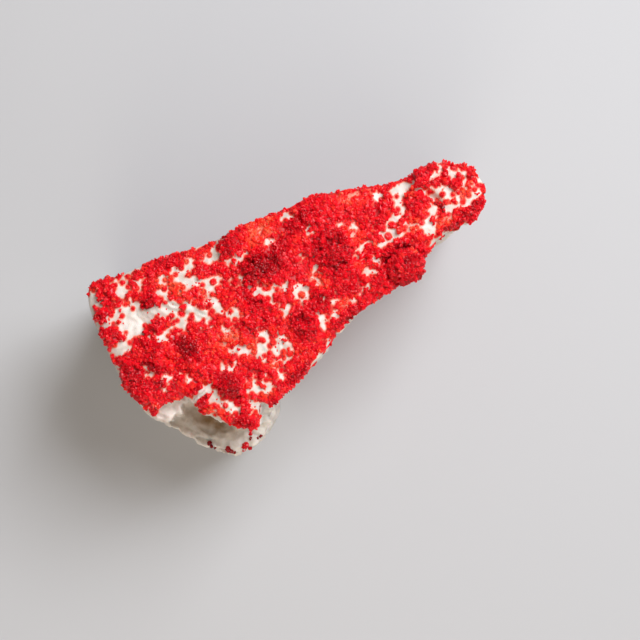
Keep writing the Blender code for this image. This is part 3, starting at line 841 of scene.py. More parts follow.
# %% Bare patches
BARE = (  # plan mm: x, y, half length, half width, turn in degrees
    # The scraped back left corner and the smears beside it.
    (-51.3, 19, 5, 3.2, 80), (-47, 17, 3.5, 1.6, 0), (-56, 18, 0.8, 2.8, 0), (-53.5, 23.5, 1, 1, 0),
    (-38, 13.5, 5.5, 3.2, -45), (-33, 8, 3.8, 1.8, -60), (-45.5, 9.3, 3.5, 0.8, 10),
    (-40, 8.2, 1.6, 1.4, 0), (-42, 16.8, 1.8, 1, 0), (-39.5, 21.2, 1.8, 1.6, 0),
    (-38, 24.3, 1.8, 1.2, 0), (-32.4, 22.5, 1.2, 2.8, 0), (-30, 18.8, 2.8, 1, 0),
    (-28, 24.5, 2, 1.1, 0), (-22, 22.5, 1, 1.5, 0), (-25.4, 17, 1.6, 0.8, 0), (-24.5, 15, 2.4, 1.5, 0),
    (-27.3, 8, 1.5, 1.7, 0), (-23.8, 3, 2, 1.7, 0), (-29.3, 1, 0.8, 0.4, 0),
    (-50, 28.9, 2.4, 1.3, 20), (-48, 30.5, 1.5, 0.6, 0), (-60.8, 31.5, 2.4, 1.2, 50),
    (-62.5, 28, 1.6, 0.7, 60), (-58.5, 28.2, 1, 0.6, -30), (-64, 23.3, 1.5, 0.6, 0),
    (-59, 22.4, 4.2, 0.35, 3), (-61.5, 13.4, 5, 0.9, 0), (-65, 14.8, 1, 2.2, 0), (-53.2, 14, 1.5, 0.3, 0),
    (-64.5, 17.5, 0.8, 0.3, 40), (-56.8, 3.9, 1.1, 0.1, 0), (-56.4, 1, 0.5, 0.5, 0),
    (-65.6, 9, 0.6, 1.6, 0), (-65.8, 22, 0.5, 2, 0), (-44, 27.2, 0.9, 0.3, 60),
    (-50.8, 14.6, 0.3, 1.2, 0), (-50, 11.8, 0.6, 0.3, 0), (-61.8, 30, 0.8, 1.6, 30),
    (-59, 33.8, 1.5, 1, 50), (-50, 32.6, 1.4, 0.5, -10), (-44, 17.5, 2.5, 0.8, -20),
    # The flap above the torn corner.
    (-52.4, -3, 2.2, 0.2, -45), (-47.5, -6.1, 0.4, 0.2, 0), (-54.8, -5.2, 0.5, 0.2, 0),
    (-46.8, -12.6, 2.4, 0.2, 7), (-43.2, -12.2, 0.7, 1.2, 30), (-42.7, -16.6, 1.3, 2.2, -20),
    (-40.6, -21.2, 2.3, 2.2, -40), (-47.2, -22.2, 3.6, 0.4, -52), (-50.6, -14.5, 0.2, 3, 0),
    (-33, -10.2, 1.3, 0.9, 0), (-28, -7.5, 3.6, 0.7, -35), (-36.5, -9, 0.6, 0.6, 0),
    (-22.5, -12, 1.9, 1.1, 0), (-31.6, -19.2, 2.4, 1.8, 0), (-27.8, -21.3, 3.4, 2, 0),
    (-21.3, -21.3, 0.8, 1, 0), (-33, -26.5, 2, 1.3, 0), (-32.5, -23.8, 1.2, 0.6, 0),
    # The middle.
    (-19.4, 22.2, 1.2, 2.2, 0), (-21.6, 22.4, 0.8, 1.6, 0), (-14.8, 26.3, 1.8, 0.4, 0),
    (-15.8, 17.9, 1.3, 0.8, 0), (-12.5, 17.7, 1.8, 0.2, 0), (-22.8, 15, 1.3, 2.2, 0),
    (-19.4, 13, 0.5, 0.6, 0), (-19, 11.4, 0.5, 0.4, 0), (-15.4, 12.2, 0.3, 0.6, 0),
    (-2.6, 16.3, 1.4, 0.8, -45), (6.9, 20.8, 1.3, 0.8, 0), (10.9, 13, 1.4, 0.5, 25),
    (20.2, 9.8, 1, 0.2, 0), (-12.4, 5, 3, 1.1, -50), (-9, 3.2, 1.5, 0.8, 0),
    (-5.2, 2.3, 0.6, 0.7, 0), (-11, -0.5, 2, 0.3, 95), (-8.7, -4.3, 2, 0.6, 55),
    (-2, -2.3, 2.3, 2.4, 0), (4.1, 7.1, 0.3, 0.7, 0), (7.2, 5.6, 0.4, 0.3, 0),
    (5.4, 1.9, 1, 0.3, 0), (4.5, -1.4, 0.3, 0.3, 0), (22.8, 6.4, 0.9, 0.8, 0),
    (20, -2.4, 0.9, 0.8, 0), (23.9, -5.9, 0.9, 1.2, 0), (20.2, -8.4, 1.3, 0.5, -25),
    (23.3, -0.3, 2, 0.1, 0), (16.7, -11.8, 0.5, 0.8, 0), (5.8, -9.6, 0.4, 0.7, 0), (11, -13.4, 1, 0.3, 0),
    (-1.2, -14, 2.4, 1.1, 65), (2.8, -13.9, 0.5, 1, 0), (2.9, -8, 0.2, 0.4, 0),
    (-19.2, -6.9, 0.7, 1.4, 0), (-16.6, -14.4, 5, 2.6, 80), (-3.5, -19, 0.5, 0.5, 0),
    (-20.5, -10.5, 1.8, 1, 0), (0.5, -19.4, 0.3, 0.6, 0),
    # The tip.
    (30.3, -1.9, 3.6, 1.1, 22), (33, -1, 1.8, 0.9, 50), (35, 1.8, 1.2, 0.7, 0), (34, 2.3, 2.6, 0.1, 35),
    (36.3, -3.5, 1.6, 0.1, 10), (38.7, -2, 0.8, 0.2, 0), (29, 1.6, 0.8, 0.1, 0), (54.6, -4.5, 0.4, 1, 0),
    (34.8, 11.3, 1.4, 0.8, 0), (42.6, 9, 3.2, 0.8, -3), (39.6, 5.6, 3.4, 1, 82),
    (47.5, 5.4, 3.8, 0.3, -62), (51.8, 2, 2.4, 1, 0), (47.4, -2.7, 2.3, 1.2, 65),
    (43.8, -6.6, 2.2, 2, 0), (53.8, -0.9, 1.4, 0.8, 0), (52.3, -4, 0.5, 2.2, 10),
    (59.4, 4.8, 1.9, 1.2, 0), (62, 3.6, 0.3, 1.2, 0), (62.9, -4, 1.8, 1, 35),
    (58.8, -5.9, 2.4, 0.2, 5), (56.7, 8.8, 0.3, 0.3, 0), (55, 6.9, 2, 0.1, 0),
    (65, -2.5, 0.2, 1.5, 0), (46, -11.8, 5.5, 0.9, -3), (55.2, 1.8, 0.5, 0.6, 0),
    (57, -3.4, 1.6, 0.2, -20), (60.7, -0.6, 0.4, 1.2, -30), (41.4, 7.6, 0.8, 0.8, 0),
    # Along the edge.
    (-43.5, 33, 5.5, 0.4, -10), (-33, 31.8, 6, 0.3, -14), (-23, 28.8, 6, 0.3, -16),
    (13.5, -18.6, 11, 0.5, 2), (-7, -22.8, 6, 0.3, 18),
)  # fmt: skip
BARE_MARGIN = 1.15  # mm that a patch is wider where the grains' centres stop
RAGGED = 0.9  # mm that the noise moves a patch's edge
RAGGED_NOISE = ((1.0, 1.4 * MM, 17.0), (0.7, 0.7 * MM, 3.0))  # strength, size, place in the noise
ISLAND_SIZE, ISLAND_LEVEL, ISLAND_RISE = 1.7 * MM, 0.36, 3.0  # where crumbs lie on a bare patch
NEVER_BARE = 9.0  # the openness where there is no patch at all
print(len(BARE), "bare patches")

# %% Heaps, wetted places and lone grains
# The share of darkness is partly the deeper dye of thick piles, partly painted shade: the darkest entries
# lie on the mound's shaded side, in the valley beside it and under the broken edge by the tip.
HEAPS = (  # plan mm: x, y, half length, half width, turn, height of the pile, share of darkness
    (-8, 11.5, 7.5, 5, 10, 1.3, 1.0), (13.5, 3, 7.5, 6.5, 70, 1.3, 0.9),
    (-14, 22.5, 4.5, 3.5, 0, 0.9, 0.7), (-6.5, -11.5, 4, 5, 0, 1.0, 0.7),
    (2, -8.5, 3.5, 3.5, 0, 0.8, 0.6), (11, 17, 7, 3.5, -10, 0.8, 0.5),
    (7, -17, 7, 1.8, 8, 0.8, 0.8), (-45, 21, 2.8, 3.2, 0, 0.9, 0.9),
    (-42.5, 2, 3, 6, 15, 0.5, 1.2), (-37, -15, 3.8, 5.8, 20, 1.2, 0.9),
    (47.5, 8, 4.5, 2.6, 30, 1.3, 0.6), (54, 8.8, 3, 1.8, 0, 0.8, 0.6),
    (58.3, 0.5, 2.4, 2.2, 0, 0.8, 0.6), (60.5, -8, 3.4, 2.2, 0, 1.0, 0.5),
    (-51, 6.5, 6.5, 5, 30, 1.0, 0.1), (-56, 30, 3.8, 2.6, 0, 1.0, 0.3),
    (-59.5, 24.5, 2.6, 2.6, 0, 0.9, 0.4), (-61, 19, 2.6, 2.2, 0, 0.9, 0.3),
    (-57, 16, 2.2, 1.7, 30, 1.0, 0.3), (-52, 12.5, 1.6, 1.4, 0, 0.9, 0.3),
    (-46, 13, 3.6, 2, 35, 1.2, 0.3), (-46, 33, 2.6, 1.6, 0, 0.6, 0.4),
    (30, -12, 8.5, 7.5, 0, 1.0, 0.5), (-37, 29.5, 7, 2.5, -15, 0.5, 0.6),
    (27.2, -8, 3.2, 2, 20, 0.2, 1.1), (33.5, -8.5, 3.4, 1.8, -30, 0.2, 1.1),
    (25.5, -13.5, 3, 2.2, -60, 0.2, 1.0), (48.5, -9.6, 6.5, 0.7, -2, 0.1, 1.2),
    (-46.8, -15.3, 2.8, 1.8, 0, 0.5, 0.6), (-47, -11, 2.6, 0.9, 0, 0.4, 0.9),
    (1.8, -6.5, 1.8, 3, 0, 0.3, 0.8), (-15.5, 2.5, 3.5, 2.5, 0, 0.6, 0.4),
    (-17, -23.8, 6, 1.3, 10, 0.1, 1.1), (-28.5, -27.5, 3, 1.5, 0, 0.3, 0.7),
    (-39, -28, 3.5, 2.5, -50, 0.5, 0.7), (-61.5, 4, 4, 4, 60, 0.5, 0.8), (-55, 3, 4, 1.5, -50, 0.3, 1.1),
)  # fmt: skip
WETTED = (  # plan mm: x, y, half length, half width, turn in degrees
    (30, 14, 8, 4, -20), (44.5, 6.5, 3, 2, 0), (50.5, -7.2, 4, 2, 0), (-46.5, -19, 3, 1.6, -50),
    (-2, 21, 6, 4, 0), (40, -3, 3, 4, 0), (-24, -9, 5, 3, 0), (-30, -3, 6, 4, 0),
    (5, -1, 4, 5, 0), (22, 4, 3, 4, 0), (-27, 13, 4, 5, 0), (-22, -17, 3, 3, 0),
    (57, -2, 7, 4, 0), (19, -7, 3, 4, 0), (32, -2, 6, 2.5, 20), (8, -12, 5, 2, 0), (-35, 20, 7, 5, 0),
)  # fmt: skip
LONE = (  # plan mm: x, y, radius, then tint
    (-24, 15.5, 0.85, 0.6), (-32, -18.5, 1.0, 0.7), (-32.5, -22.5, 0.9, 0.6), (-2.3, -3, 0.95, 0.85),
    (-18.2, -11, 0.8, 0.7), (-17, -15.5, 0.8, 0.8), (-15.3, -17, 0.8, 0.7), (31, -1.8, 0.95, 0.6),
    (34, 0.7, 0.9, 0.6), (-38.5, 22, 0.9, 0.5), (-36.5, 13.5, 0.8, 0.6), (-38.2, 12.2, 0.9, 0.6),
    (-62.7, -9.6, 1.2, 0.5), (-55.2, -28.6, 0.6, 0), (-55, -29.6, 0.6, 0), (-54.3, -30.6, 0.5, 0),
    (-50.7, -33.4, 0.9, 0.05), (-50.1, -34.5, 0.7, 0), (-49.4, -35.5, 0.5, 0), (-45.9, -36, 1.3, 0.35),
    (-44.6, -36.5, 0.9, 0.3), (-42.5, -34.4, 0.5, 0), (-41.7, -33, 0.6, 0.4), (-40.5, -35.6, 0.4, 0),
    (-39.6, -35.5, 0.4, 0), (-38.8, -35.4, 0.4, 0), (49.3, -0.8, 0.55, 0), (50.2, -1.5, 0.6, 0),
    (50.8, -2.4, 0.65, 0), (50.6, -3.4, 0.6, 0), (50.1, -4.4, 0.55, 0), (52.9, 0.4, 0.7, 0.3),
    (50.7, 6, 0.5, 0.2), (-44, -21.2, 1.1, 0.8), (-43.4, -22.3, 0.7, 0.7), (46.4, -7.6, 0.6, 0.9),
    (63.6, 1.4, 0.9, 0.3), (63.9, 0.2, 0.7, 0.2),
)  # fmt: skip
print(len(HEAPS), "heaps,", len(WETTED), "wetted places and", len(LONE), "lone grains")

# %% How the places shape the crumbs
PILE, PILE_NOISE = 0.45, ((0.5, 3.2 * MM, 51.0), (0.2, 1.7 * MM, 8.0))  # height in mm
PILE_LEAST = 0.1 * MM
HEAP_EDGE, WET_EDGE = 1.15, 1.3  # where a heap and a wetted place end, in shares of their size
WET_BY_PATCH, WET_MOST = 1.35, 0.3  # the openness at which wetness begins, and its limit there
TINT, TINT_NOISE = 0.54, ((0.2, 7 * MM, 30.0), (0.14, 1.8 * MM, 4.0))
# The second value darkens the heaps: partly deeper dye of thick piles, partly painted shade.
TINT_WET, TINT_DARK_AND_SHADE = 0.34, 0.34


def layered(spots, mean, layers):
    """A mean and layers of noise on it, each with its strength, size and place in the noise."""
    total = np.full(len(spots), mean)
    for strength, size, apart in layers:
        total += strength * wander(spots, size, apart)
    return total


def openness(spots):
    """1 or more outside every bare patch, less inside one, with ragged edges between."""
    ragged = RAGGED * layered(spots, 0.0, RAGGED_NOISE)
    nearest = np.full(len(spots), NEVER_BARE)
    for x, y, half_length, half_width, turn in BARE:
        share = ragged * 2.5 / (half_length + half_width + 0.5)
        wider = (x, y, half_length + BARE_MARGIN, half_width + BARE_MARGIN, turn)
        nearest = np.minimum(nearest, in_ellipse(spots, wider) + share)
    islands = np.clip(wander(spots, ISLAND_SIZE, 77.0) - ISLAND_LEVEL, 0, None)
    return nearest + ISLAND_RISE * islands


def pile_height(spots):
    """Height of the pile of crumbs in metres, and how dark it is, at each spot."""
    height = layered(spots, PILE, PILE_NOISE) * MM
    dark = np.zeros(len(spots))
    for *ellipse, rise, darkness in HEAPS:
        near = np.clip(HEAP_EDGE - in_ellipse(spots, ellipse), 0, 1)
        height += rise * MM * near * (2 - near)
        # Darkness of each heap: deeper dye together with painted shade.
        dark = np.maximum(dark, darkness * np.clip(near * (2 - near), 0, 1))
    return np.maximum(height, PILE_LEAST), dark


def wetness(spots, opening):
    """How much cream has wetted the crumbs: in the wetted places and round each bare patch."""
    wet = np.clip(WET_BY_PATCH - opening, 0, WET_MOST)
    for ellipse in WETTED:
        wet = np.maximum(wet, np.clip(WET_EDGE - in_ellipse(spots, ellipse), 0, 1))
    return wet


def crumb_tint(spots, opening, dark):
    """The tint of crumbs that lie there, before each one's own chance."""
    wetted = TINT_WET * wetness(spots, opening)
    # Heaps are darker: partly the deeper dye of thick piles, partly painted shade.
    return layered(spots, TINT, TINT_NOISE) + wetted - TINT_DARK_AND_SHADE * dark


# %% [markdown]
# ## The bed of crumbs
#
# Most crumbs can't be told apart: they are pressed together into one rough crust. It is modelled
# as that. The upper slab of the coat is copied, so that the crust follows every swell, and its
# skin is pushed out into lumps that touch each other. Voronoi noise gives the lumps, and also the
# nearest lump's centre, so that a lump as a whole either is there or isn't. Where it isn't, the
# skin sinks into the coat, and this gives the bare patches their scalloped edges.

# %% Lumps that touch
LUMP_SIZES = ((1.45 * MM, 0.6 * MM), (0.72 * MM, 0.3 * MM))  # width and height of each size
LUMP_BEND = 0.35  # how far noise bends the lumps' outlines, as a share of their width
LUMP_REACH = 0.95  # how far from its centre a lump meets the skin, as a share of its width
FAR_APART = 9.7  # spreads the centres, so that neighbours get chances of their own


def touching_lumps(spots, width):
    """Rounded lumps: their height from 0 to 1, their centres, and a chance of its own for each."""
    gaps, centres = np.empty(len(spots)), np.empty_like(spots)
    bends = np.stack([wander(spots, width, apart) for apart in (1.0, 5.0, 9.0)], axis=1)
    for i, spot in enumerate(spots / width + LUMP_BEND * bends):
        distances, nearest = noise.voronoi(spot)
        gaps[i] = distances[0]
        centres[i] = nearest[0]
    chances = np.array([noise.noise(centre * FAR_APART) for centre in centres])
    return np.sqrt(np.clip(1 - (gaps / LUMP_REACH) ** 2, 0, 1)), centres * width, chances


# %% Where the bed covers the coat
BED_DEPTH = 5.5 * MM
CLING_SIZE = 3.0 * MM
RIM_COVER, RIM_THINNING = -0.3, 0.35  # noise above which lumps cling to the rim, and its rise per mm
FLAP_LIP = (-45, -17, 11, 3, -57)  # plan mm: the clean lip of the flap, as an ellipse


def slab_of_coat():
    """The coat above BED_DEPTH, closed underneath."""
    slab = bmesh.new()
    slab.from_mesh(frosting.data)
    everything = slab.verts[:] + slab.edges[:] + slab.faces[:]
    level = (0, 0, FROSTING_TOP - BED_DEPTH)
    bmesh.ops.bisect_plane(slab, geom=everything, plane_co=level, plane_no=(0, 0, 1), clear_inner=True)
    rims = [edge for edge in slab.edges if edge.is_boundary]
    filled = bmesh.ops.holes_fill(slab, edges=rims, sides=0)
    bmesh.ops.triangulate(slab, faces=filled["faces"])  # now, because a bent polygon can fold over
    slab.verts.index_update()
    return slab


def covered(spots, opening):
    """Whether a lump with its centre there is part of the bed."""
    below = (FROSTING_TOP - RIM_DROP - spots[:, 2]) / MM
    clinging = wander(spots, CLING_SIZE, 60.0) > RIM_COVER + RIM_THINNING * np.clip(below, 0, None) ** 1.5
    clinging &= (in_ellipse(spots, FLAP_LIP) > 1) | (below < 0)
    seat = np.hypot(spots[:, 0] - LUMP_CENTRE.x, spots[:, 1] - LUMP_CENTRE.y) > LUMP_RADIUS
    return (opening > 1) & clinging & seat


def bmesh_points(shape):
    return np.array([vert.co for vert in shape.verts])


slab = slab_of_coat()
points = bmesh_points(slab)
near = covered(points, openness(points))
fine = [edge for edge in slab.edges if near[edge.verts[0].index] or near[edge.verts[1].index]]
bmesh.ops.subdivide_edges(slab, edges=fine, cuts=1, use_grid_fill=True)
slab.normal_update()
bed = new_object("crumb_bed", slab)
print("the bed covers", round(100 * float(near.mean())), "% of the slab's points")

# %% Raise the lumps of the bed
SUNK = 0.5 * MM  # how deep the skin lies below the coat where it is bare
PINHOLES, THINNING = 0.5, 0.45  # a lump with a chance above this is missing, less where it is wet
DENSE = 0.2  # the darkness of a heap from which on no lump is missing
SLAB_FOOT = 0.5 * MM  # the lowest part of the slab, which stays inside the coat
LUMP_VARIETY, LUMP_SINK = 0.8, 0.3 * MM
SIDE_SHARE = 0.12  # how far lumps stand out sideways, as a share of how far they rise
CHANCE_TINTS, CREVICE_SHADE_TINTS = (0.35, 0.3), (0.3, 0.15)  # for the two sizes of lumps: random tints, then painted shade in the crevices

points, normals = points_and_normals(bed)
(coarse, centres, chances), (small, _, small_chances) = (
    touching_lumps(points, width) for width, _ in LUMP_SIZES
)
opening = openness(centres)
height, dark = pile_height(points)
holes = np.where(dark > DENSE, 1, PINHOLES - THINNING * wetness(centres, opening))
is_bed = covered(centres, opening) & (chances < holes)
is_bed &= points[:, 2] > FROSTING_TOP - BED_DEPTH + SLAB_FOOT
height += coarse * (1 + LUMP_VARIETY * chances) * LUMP_SIZES[0][1] - LUMP_SINK
upwards = np.clip(normals[:, 2], SIDE_SHARE, 1)
rise = height * upwards + small * LUMP_SIZES[1][1] * (0.5 + 0.5 * upwards)
rise = np.where(is_bed, rise, -SUNK)
set_points(bed, points + normals * rise[:, None])

tint = crumb_tint(points, openness(points), dark)
tint = tint + CHANCE_TINTS[0] * chances + CHANCE_TINTS[1] * small_chances
# Painted shade: the bed is darker in the crevices between its lumps, where each lump falls away.
tint -= CREVICE_SHADE_TINTS[0] * (1 - coarse) + CREVICE_SHADE_TINTS[1] * (1 - small)
add_value(bed.data, "tint", np.clip(tint, 0, 1))
give_material(bed, crumb_material)
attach(bed, "root")
bed.data.calc_loop_triangles()
print("the bed has", len(bed.data.loop_triangles), "triangles")

# %% [markdown]
# ## Strewing
#
# Loose grains lie on the bed. A grain is dropped by casting a ray straight down. The spots come
# from a jittered hexagonal grid, which covers evenly but never looks like a grid. Along a bare
# patch the grains lie closer, because the bed crumbles there.

# %% Helpers for falling grains
SEED = 5
TOP_REACH = 5.0 * MM  # how far below the flat top the strewn surface reaches
STEEPEST = 0.12  # upward share of the normal below which a grain slides off
PLAN_X, PLAN_Y = (-68 * MM, 68 * MM), (-39 * MM, 38 * MM)
JITTER = 0.45  # how far a spot may leave its place in the grid, as a share of the spacing
ABOVE = 0.2  # metres: where a ray starts that looks down

draw = np.random.default_rng(SEED)


def search_tree(*pieces):
    """A tree that finds where rays meet the pieces."""
    skin = bmesh.new()
    for piece in pieces:
        skin.from_mesh(piece.data)
    found = BVHTree.FromBMesh(skin)
    skin.free()
    return found


surface = search_tree(frosting, bed)


def jittered_spots(spacing):
    """Spots over the whole plan, in metres, as rows of x, y and 0."""
    xs, ys = np.arange(*PLAN_X, spacing), np.arange(*PLAN_Y, spacing * math.sqrt(3) / 2)
    x, y = np.meshgrid(xs, ys)
    x[::2] += spacing / 2
    spots = np.stack([x.ravel(), y.ravel(), np.zeros(x.size)], axis=1)
    spots[:, :2] += draw.uniform(-JITTER, JITTER, (len(spots), 2)) * spacing
    return spots


def look_down(onto, x, y):
    """The place where a ray straight down meets a surface, and the normal there."""
    return onto.ray_cast(Vector((x, y, ABOVE)), Vector((0, 0, -1)))[:2]


def drop(spots, onto):
    """Where rays cast down from the spots meet a surface: places, normals and which ones hit."""
    places, normals, met = np.zeros_like(spots), np.zeros_like(spots), np.zeros(len(spots), bool)
    for i, (x, y, _) in enumerate(spots):
        place, normal = look_down(onto, x, y)
        if place is not None and place.z > FROSTING_TOP - TOP_REACH and normal.z > STEEPEST:
            places[i], normals[i], met[i] = place, normal, True
    return places, normals, met


# %% Drop the grains
GRAIN_SPACING = 0.95 * MM
GRAIN_RADIUS = (0.3 * MM, 0.5 * MM, 0.95 * MM)  # smallest, usual and largest
EDGE_RADIUS = 0.6 * MM  # the largest by a bare patch
BY_PATCH = 1.3  # the openness below which a grain lies by a bare patch
ON_BED, ON_EDGE, ON_HEAP = 0.42, 0.75, 0.85  # the share of the spots that get a grain
HEAP_FROM, WET_LOSS = 0.3, 0.6  # the darkness where a heap begins, and the share lost in the wet
STRAY = 0.2  # the share just inside a bare patch, which falls to nothing further in
SUNK_OR_RAISED = (-0.2, 0.35)  # where a grain's centre lies above the bed, in radii


def lay_grains():
    """All strewn grains as rows of x, y, z, radius, tint, darkness and wetness."""
    spots = jittered_spots(GRAIN_SPACING)
    _, dark = pile_height(spots)
    opening = openness(spots)
    share = np.where(opening < BY_PATCH, ON_EDGE, ON_BED) + (ON_HEAP - ON_BED) * (dark > HEAP_FROM)
    share *= 1 - WET_LOSS * wetness(spots, opening)
    share = np.where(opening < 1, STRAY * np.clip(opening * 2 - 1, 0, 1), share)
    kept = draw.random(len(spots)) < share
    spots, dark, opening = spots[kept], dark[kept], opening[kept]
    places, normals, met = drop(spots, surface)
    places, normals, dark, opening = places[met], normals[met], dark[met], opening[met]
    radii = draw.triangular(*GRAIN_RADIUS, len(places))
    radii = np.where(opening < BY_PATCH, np.minimum(radii, EDGE_RADIUS), radii)
    centres = places + normals * (radii * draw.uniform(*SUNK_OR_RAISED, len(places)))[:, None]
    tint = crumb_tint(places, opening, dark) + draw.normal(0, 0.1, len(places))
    wet = wetness(places, opening)
    print(len(places), "grains lie on the bed")
    return np.column_stack([centres, radii, np.clip(tint, 0, 1), dark, wet])


strewn = lay_grains()

# %% [markdown]
# ### Grains on the edge
#
# Crumbs also cling to the side of the coat just under its edge. Here the ray comes in level from
# outside, so a grain lands on whatever part of the edge it meets first.

# %% Grains round the edge
EDGE_STEP = 0.9 * MM
EDGE_CHANCES = (0.75, 0.6, 0.39, 0.21, 0.12, 0.06)  # for each row down from the top
EDGE_ROW = 1.0 * MM
CLUMP_SIZE = 5 * MM
OUTSIDE, FURTHEST = 10, 6  # mm from the edge: where the rays start, and how far they may land
EDGE_TINT = (0.5, 0.14)  # mean and spread
LONE_RISE = 0.4  # how far a lone grain's centre lies above the cream, in radii


def edge_grains():
    outline = smooth_outline(TOP_EDGE)
    rows = []
    for row, chance in enumerate(EDGE_CHANCES):
        for point, after in zip(outline, outline[1:] + outline[:1]):
            along = after - point
            out = Vector((along.y, -along.x, 0)).normalized()
            for _ in range(max(1, round(along.length / EDGE_STEP))):
                start = point.lerp(after, draw.random()).to_3d()
                clump = 0.5 + 0.9 * noise.noise(start / CLUMP_SIZE + Vector((0, 0, row * 0.2)))
                start.z = FROSTING_TOP - RIM_DROP - (row + draw.uniform(-0.5, 0.5)) * EDGE_ROW
                spot = np.array([start])
                if draw.random() > chance * clump or not covered(spot, openness(spot))[0]:
                    continue
                place = surface.ray_cast(start + out * OUTSIDE * MM, -out)[0]
                if place is None or (place - start).length > FURTHEST * MM:
                    continue
                radius = min(draw.triangular(*GRAIN_RADIUS), EDGE_RADIUS)
                rows.append((*place, radius, np.clip(draw.normal(*EDGE_TINT), 0, 1)))
    return np.array(rows)


def lone_grains():
    rows = []
    for x, y, radius, tint in LONE:
        place, normal = look_down(surface, x * MM, y * MM)
        if place is not None:
            rows.append((*(place + normal * radius * MM * LONE_RISE), radius * MM, tint))
    return np.array(rows)


clinging, lone = edge_grains(), lone_grains()
print(len(clinging), "grains cling to the edge and", len(lone), "lie alone")

# %% [markdown]
# ### A curl of cream
#
# Where the flap tore, a thread of cream rolled up and came to lie across the crumbs. It is a
# cylinder with many rings: each ring is laid on the surface below it and gets its own width.

# %% Curl of cream
CURL_ENDS = Vector((-49.6, -13.6, 0)) * MM, Vector((-44.0, -12.8, 0)) * MM
CURL_RADIUS = 0.62 * MM
CURL_LUMPS, CURL_UNEVENNESS = 6, 0.35  # lumps along it, and how much they change its width
CURL_LIFT = 0.6  # how far its middle lies above the crumbs, in radii

shape = bmesh.new()
bmesh.ops.create_cone(shape, cap_ends=True, segments=16, radius1=1, radius2=1, depth=1)
lengthwise = [edge for edge in shape.edges if abs(edge.verts[0].co.z - edge.verts[1].co.z) > 0.5]
bmesh.ops.subdivide_edges(shape, edges=lengthwise, cuts=24)
across = (CURL_ENDS[1] - CURL_ENDS[0]).normalized().cross(Vector((0, 0, 1)))
for vert in shape.verts:
    share = vert.co.z + 0.5
    middle = CURL_ENDS[0].lerp(CURL_ENDS[1], share)
    below = look_down(surface, middle.x, middle.y)[0].z
    lumps = noise.noise(Vector((share * CURL_LUMPS, vert.co.x, vert.co.y)))
    round_end = math.sqrt(max(0.05, 1 - (2 * share - 1) ** 8))
    width = CURL_RADIUS * round_end * (1 + CURL_UNEVENNESS * lumps)
    height = below + width * (CURL_LIFT + vert.co.y)
    vert.co = middle + across * vert.co.x * width + Vector((0, 0, height))
bmesh.ops.recalc_face_normals(shape, faces=shape.faces)
curl = new_object("curl_of_cream", shape)
give_material(curl, frosting_material)
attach(curl, "root")
print("the curl is", round((CURL_ENDS[1] - CURL_ENDS[0]).length / MM, 1), "mm long")

# %% [markdown]
# ### Shapes of the grains
#
# Thousands of different grains would be wasteful. A few lumpy shapes are made from a small
# sphere, and each grain is one of them with its own turn, stretch and size. All grains of a kind
# are joined into one mesh, because one object with many faces is far lighter than many objects.

# %% Make lumpy shapes
SHAPES = 14
LUMPINESS = 0.75


def grain_shapes(subdivisions):
    """Lumpy shapes about 1 in radius, as (points, faces)."""
    shapes = []
    for number in range(SHAPES):
        shape = bmesh.new()
        bmesh.ops.create_icosphere(shape, subdivisions=subdivisions, radius=1.0)
        apart = Vector((number * 3.7, 1.3, 8.9))
        for vert in shape.verts:
            coarse = noise.noise(vert.co * 1.1 + apart)
            fine = noise.noise(vert.co * 2.6 - apart)
            vert.co *= 1 + LUMPINESS * coarse + 0.7 * LUMPINESS * fine
        shape.verts.index_update()
        faces = np.array([[vert.index for vert in face.verts] for face in shape.faces])
        shapes.append((bmesh_points(shape), faces))
        shape.free()
    return shapes


small_shapes, large_shapes = grain_shapes(1), grain_shapes(2)
print("a speck has", len(small_shapes[0][1]), "faces and a grain has", len(large_shapes[0][1]))

# %% Join the grains of a kind
STRETCH = (0.75, 1.25)
PRESSED = 0.75  # height of a grain as a share of its width, once it is pressed into the cream
HEAPED_FROM, WETTED_FROM = 0.35, 0.25  # darkness and wetness that make a grain one of these


def random_turns(count):
    """Rotation matrices spread evenly over all turns."""
    turns = draw.normal(size=(4, count))
    w, x, y, z = turns / np.linalg.norm(turns, axis=0)
    rows = [
        [1 - 2 * (y * y + z * z), 2 * (x * y - z * w), 2 * (x * z + y * w)],
        [2 * (x * y + z * w), 1 - 2 * (x * x + z * z), 2 * (y * z - x * w)],
        [2 * (x * z - y * w), 2 * (y * z + x * w), 1 - 2 * (x * x + y * y)],
    ]
    return np.array(rows).transpose(2, 0, 1)


def join_grains(name, rows, shapes):
    """One mesh object of many grains, from rows that start with x, y, z, radius and tint."""
    all_points, all_faces, all_tints, first = [], [], [], 0
    picks = draw.integers(0, len(shapes), len(rows))
    turns = random_turns(len(rows))
    stretches = draw.uniform(*STRETCH, (len(rows), 1, 3)) * rows[:, 3, None, None]
    for number, (points, faces) in enumerate(shapes):
        chosen = picks == number
        count = int(chosen.sum())
        grains = np.einsum("nij,nkj->nki", turns[chosen], points[None] * stretches[chosen])
        grains[..., 2] *= PRESSED
        grains += rows[chosen, None, :3]
        starts = first + len(points) * np.arange(count)
        all_points.append(grains.reshape(-1, 3))
        all_faces.append((faces[None] + starts[:, None, None]).reshape(-1, 3))
        all_tints.append(np.repeat(rows[chosen, 4], len(points)))
        first += count * len(points)
    mesh = bpy.data.meshes.new(name)
    mesh.from_pydata(np.concatenate(all_points), [], np.concatenate(all_faces))
    add_value(mesh, "tint", np.concatenate(all_tints))
    made = bpy.data.objects.new(name, mesh)
    bpy.context.collection.objects.link(made)
    mesh.materials.append(crumb_material)
    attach(made, "root")
    print(name, "has", len(mesh.polygons), "faces")
    return made


